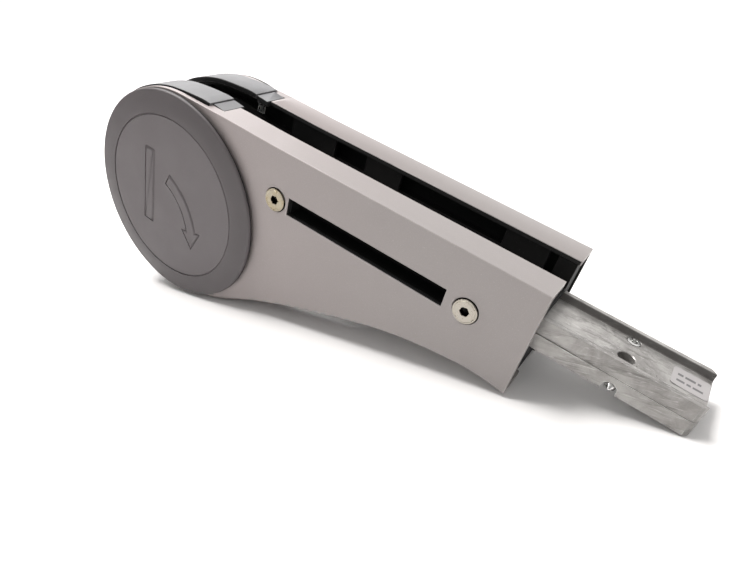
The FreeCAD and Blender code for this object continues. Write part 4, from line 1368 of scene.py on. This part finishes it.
def label_point(u, v):
    """A point of the sheet, pulled in at the corners so that they are round."""
    x = u * LABEL_LENGTH
    y = v * LABEL_WIDTH
    dx = max(LABEL_CORNER - x, x - (LABEL_LENGTH - LABEL_CORNER), 0.0)
    dy = max(LABEL_CORNER - y, y - (LABEL_WIDTH - LABEL_CORNER), 0.0)
    if dx > 0 and dy > 0:
        share = max(dx, dy) / math.hypot(dx, dy)
        x += math.copysign(dx * (1 - share), LABEL_LENGTH / 2 - x)
        y += math.copysign(dy * (1 - share), LABEL_WIDTH / 2 - y)
    return x, y


def printed(x, y):
    """Two rows of plain bars of different lengths."""
    for row_y, bars in PRINT_ROWS:
        if abs(y - row_y) < PRINT_HALF_HEIGHT and any(start < x < end for start, end in bars):
            return 1.0
    return 0.0


# ---------------------------------------------------------------- build
SCREW_STEP = (SCREW_X[1] - SCREW_X[0], 0.0, 0.0)


def in_pair(obj, row, start, step, finish):
    """Two of a piece: one at the start and one a step further on."""
    grow(obj, row, count=2, start=start, step=step, material=FINISHES[finish])


def build_visible(row):
    """The pieces that make the outer look."""
    strip = strip_tree()
    for name, maker in (("shell", make_shell), ("rim_cover", lambda: make_rim_cover(strip))):
        front = maker()
        rear = mirrored(front, front.name.replace("front", "rear"))
        stand(front, "front_" + name)
        stand(rear, "rear_" + name)
    front_cap = make_cap("front_cap_dome", True)
    rear_cap = make_cap("rear_cap_dome", False)
    reflect(rear_cap)
    stand(front_cap, "front_cap")
    stand(rear_cap, "rear_cap")
    for side, head_y in (("front", -SCREW_TOP), ("rear", SCREW_TOP)):
        screw = make_screw()
        screw.name = side + "_screws_turned"
        if side == "rear":
            reflect(screw)
        in_pair(screw, row, (SCREW_X[0], head_y, CENTRE_LINE), SCREW_STEP, "zinc_screw")
        stand(screw, side + "_screws")
    stand(make_tongue(), "tongue")
    stand(make_label(), "label")


def build_repeated(row):
    """Spacers round the screws, and the two stop pins with their rubber sleeves."""
    for side in ("front", "rear"):
        start = node_side(side + "_spacers", 0, 1)
        end = node_side(side + "_spacers", 1, 1)
        profile = sleeve_profile(SPACER_RADIUS, SCREW_RADIUS + 0.3, start, end, 0.25)
        spacer = lathe(side + "_spacers_turned", profile)
        in_pair(spacer, row, (SCREW_X[0], 0.0, CENTRE_LINE), SCREW_STEP, "bright_steel")
        polish(spacer)
        stand(spacer, side + "_spacers")
    first, second = stop_places()
    step = (second.x - first.x, 0.0, second.z - first.z)
    reach = node_side("stop_pins", 1, 1)
    pins = lathe("stop_pins_turned", rod_profile(STOP_PIN_RADIUS, -reach, reach, 0.4))
    reach = node_side("stop_sleeves", 1, 1)
    sleeves = lathe("stop_sleeves_moulded",
                    sleeve_profile(STOP_SLEEVE_RADIUS, STOP_PIN_RADIUS, -reach, reach, 0.8))
    for piece, node, finish in ((pins, "stop_pins", "bright_steel"),
                                (sleeves, "stop_sleeves", "stop_rubber")):
        in_pair(piece, row, tuple(first), step, finish)
        polish(piece)
        stand(piece, node)


def stop_places():
    """Centres of the two stop pins along the level arm, upper one first."""
    reach = math.degrees(math.asin((FOOT_HALF_HEIGHT + STOP_SLEEVE_RADIUS) / STOP_RADIUS))
    tilt = math.degrees(REST_TILT)
    places = []
    for angle in (180 - FOLD_LIMIT - reach - STOP_GRACE, 180 - BACK_LIMIT + reach + STOP_GRACE):
        flat = polar(STOP_RADIUS, angle + tilt)
        places.append(Vector((flat.x, 0.0, flat.y)))
    return places


def build_rest():
    """Every other piece keeps its CAD shape, with softened edges and its own finish."""
    made = {"tongue", "label", "stop_pins", "stop_sleeves"}
    for name in ("shell", "cap", "rim_cover", "screws", "spacers"):
        made |= {"front_" + name, "rear_" + name}
    for node in sorted(frame["nodes"]):
        if node not in made:
            refine(node)


# ---------------------------------------------------------------- stage, light and camera
def make_floor():
    """Pale paper that lies flat under the arm and curves up into a wall far behind it."""
    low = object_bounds()[0][2]
    half = FLOOR_SIZE / 2
    line = [(-half, 0.0), (BACKDROP_AWAY, 0.0)]
    curve_steps = 16
    for step in range(1, curve_steps + 1):
        angle = math.radians(90 * step / curve_steps)
        line.append((BACKDROP_AWAY + BACKDROP_CURVE * math.sin(angle),
                     BACKDROP_CURVE * (1 - math.cos(angle))))
    line.append((line[-1][0], half))
    verts = [(x, y, low + z) for y, z in line for x in (-half, half)]
    faces = [[2 * i, 2 * i + 1, 2 * i + 3, 2 * i + 2] for i in range(len(line) - 1)]
    floor = new_object("studio_paper", verts, faces)
    material, tree, shader = start_material("studio_paper", 0.8, specular=0.2)
    tone = noise(tree, 3.0, 2.0, 0.5)
    tree.links.new(blend_colours(tree, tone, (0.90, 0.89, 0.885), (0.92, 0.91, 0.905)),
                   shader.inputs["Base Color"])
    away = tree.nodes.new("ShaderNodeVectorMath")
    away.operation = "LENGTH"
    tree.links.new(object_coords(tree), away.inputs[0])
    shader.inputs["Emission Color"].default_value = (1.0, 1.0, 1.0, 1.0)
    glow = spread(tree, away.outputs["Value"], 0.7, 1.8, 0.0, 0.60)
    tree.links.new(glow, shader.inputs["Emission Strength"])
    floor.data.materials.append(material)
    floor.data.shade_smooth()


def make_light(name, place, size, power, colour=(1, 1, 1)):
    """A square soft box that looks at the arm."""
    data = bpy.data.lights.new(name, "AREA")
    data.shape = "SQUARE"
    data.size = size
    data.energy = power
    data.color = colour
    light = bpy.data.objects.new(name, data)
    light.location = place
    light.rotation_euler = (LIGHT_AIM - Vector(place)).to_track_quat("-Z", "Y").to_euler()
    bpy.context.scene.collection.objects.link(light)


def make_world():
    """Soft room light: bright overhead and behind, dimmer from the front."""
    world = bpy.data.worlds.new("studio")
    world.use_nodes = True
    tree = world.node_tree
    back = tree.nodes["Background"]
    back.inputs["Color"].default_value = (1.0, 0.985, 0.97, 1.0)
    place = tree.nodes.new("ShaderNodeTexCoord")
    parts = tree.nodes.new("ShaderNodeSeparateXYZ")
    tree.links.new(place.outputs["Generated"], parts.inputs["Vector"])
    behind = spread(tree, parts.outputs["Y"], -1.0, 1.0, 0.10, 0.50)
    above = spread(tree, parts.outputs["Z"], 0.0, 1.0, 0.0, 0.25)
    tree.links.new(maths(tree, "ADD", behind, above), back.inputs["Strength"])
    bpy.context.scene.world = world


CAMERA_PLACE = Vector((0.27590, -0.23604, 0.10013))
CAMERA_AIM = Vector((0.11634, 0.0, -0.03777))
CAMERA_ROLL = -1.604
CAMERA_LENS = 28.24


def make_camera():
    data = bpy.data.cameras.new("camera")
    data.lens = CAMERA_LENS
    data.sensor_width = 36.0
    data.clip_start = 0.01
    camera = bpy.data.objects.new("camera", data)
    forward = (CAMERA_AIM - CAMERA_PLACE).normalized()
    level = forward.cross(Vector((0, 0, 1))).normalized()
    upward = level.cross(forward)
    roll = math.radians(CAMERA_ROLL)
    right = level * math.cos(roll) + upward * math.sin(roll)
    up = upward * math.cos(roll) - level * math.sin(roll)
    turn = Matrix((right, up, -forward)).transposed().to_4x4()
    camera.matrix_world = Matrix.Translation(CAMERA_PLACE) @ turn
    bpy.context.scene.collection.objects.link(camera)
    bpy.context.scene.camera = camera


make_camera()
make_world()
make_light("top_soft_box", (-0.42, 0.0, 1.25), 0.8, 31.0, (1.0, 0.985, 0.97))
make_light("front_fill", (0.5, -1.2, 0.8), 1.0, 3.0)
make_light("back_soft_box", (-0.8, 0.9, 0.75), 0.6, 3.0)
make_floor()
row_of_pieces = row_tree()
build_visible(row_of_pieces)
build_repeated(row_of_pieces)
build_rest()
bpy.context.scene.view_settings.view_transform = "Standard"
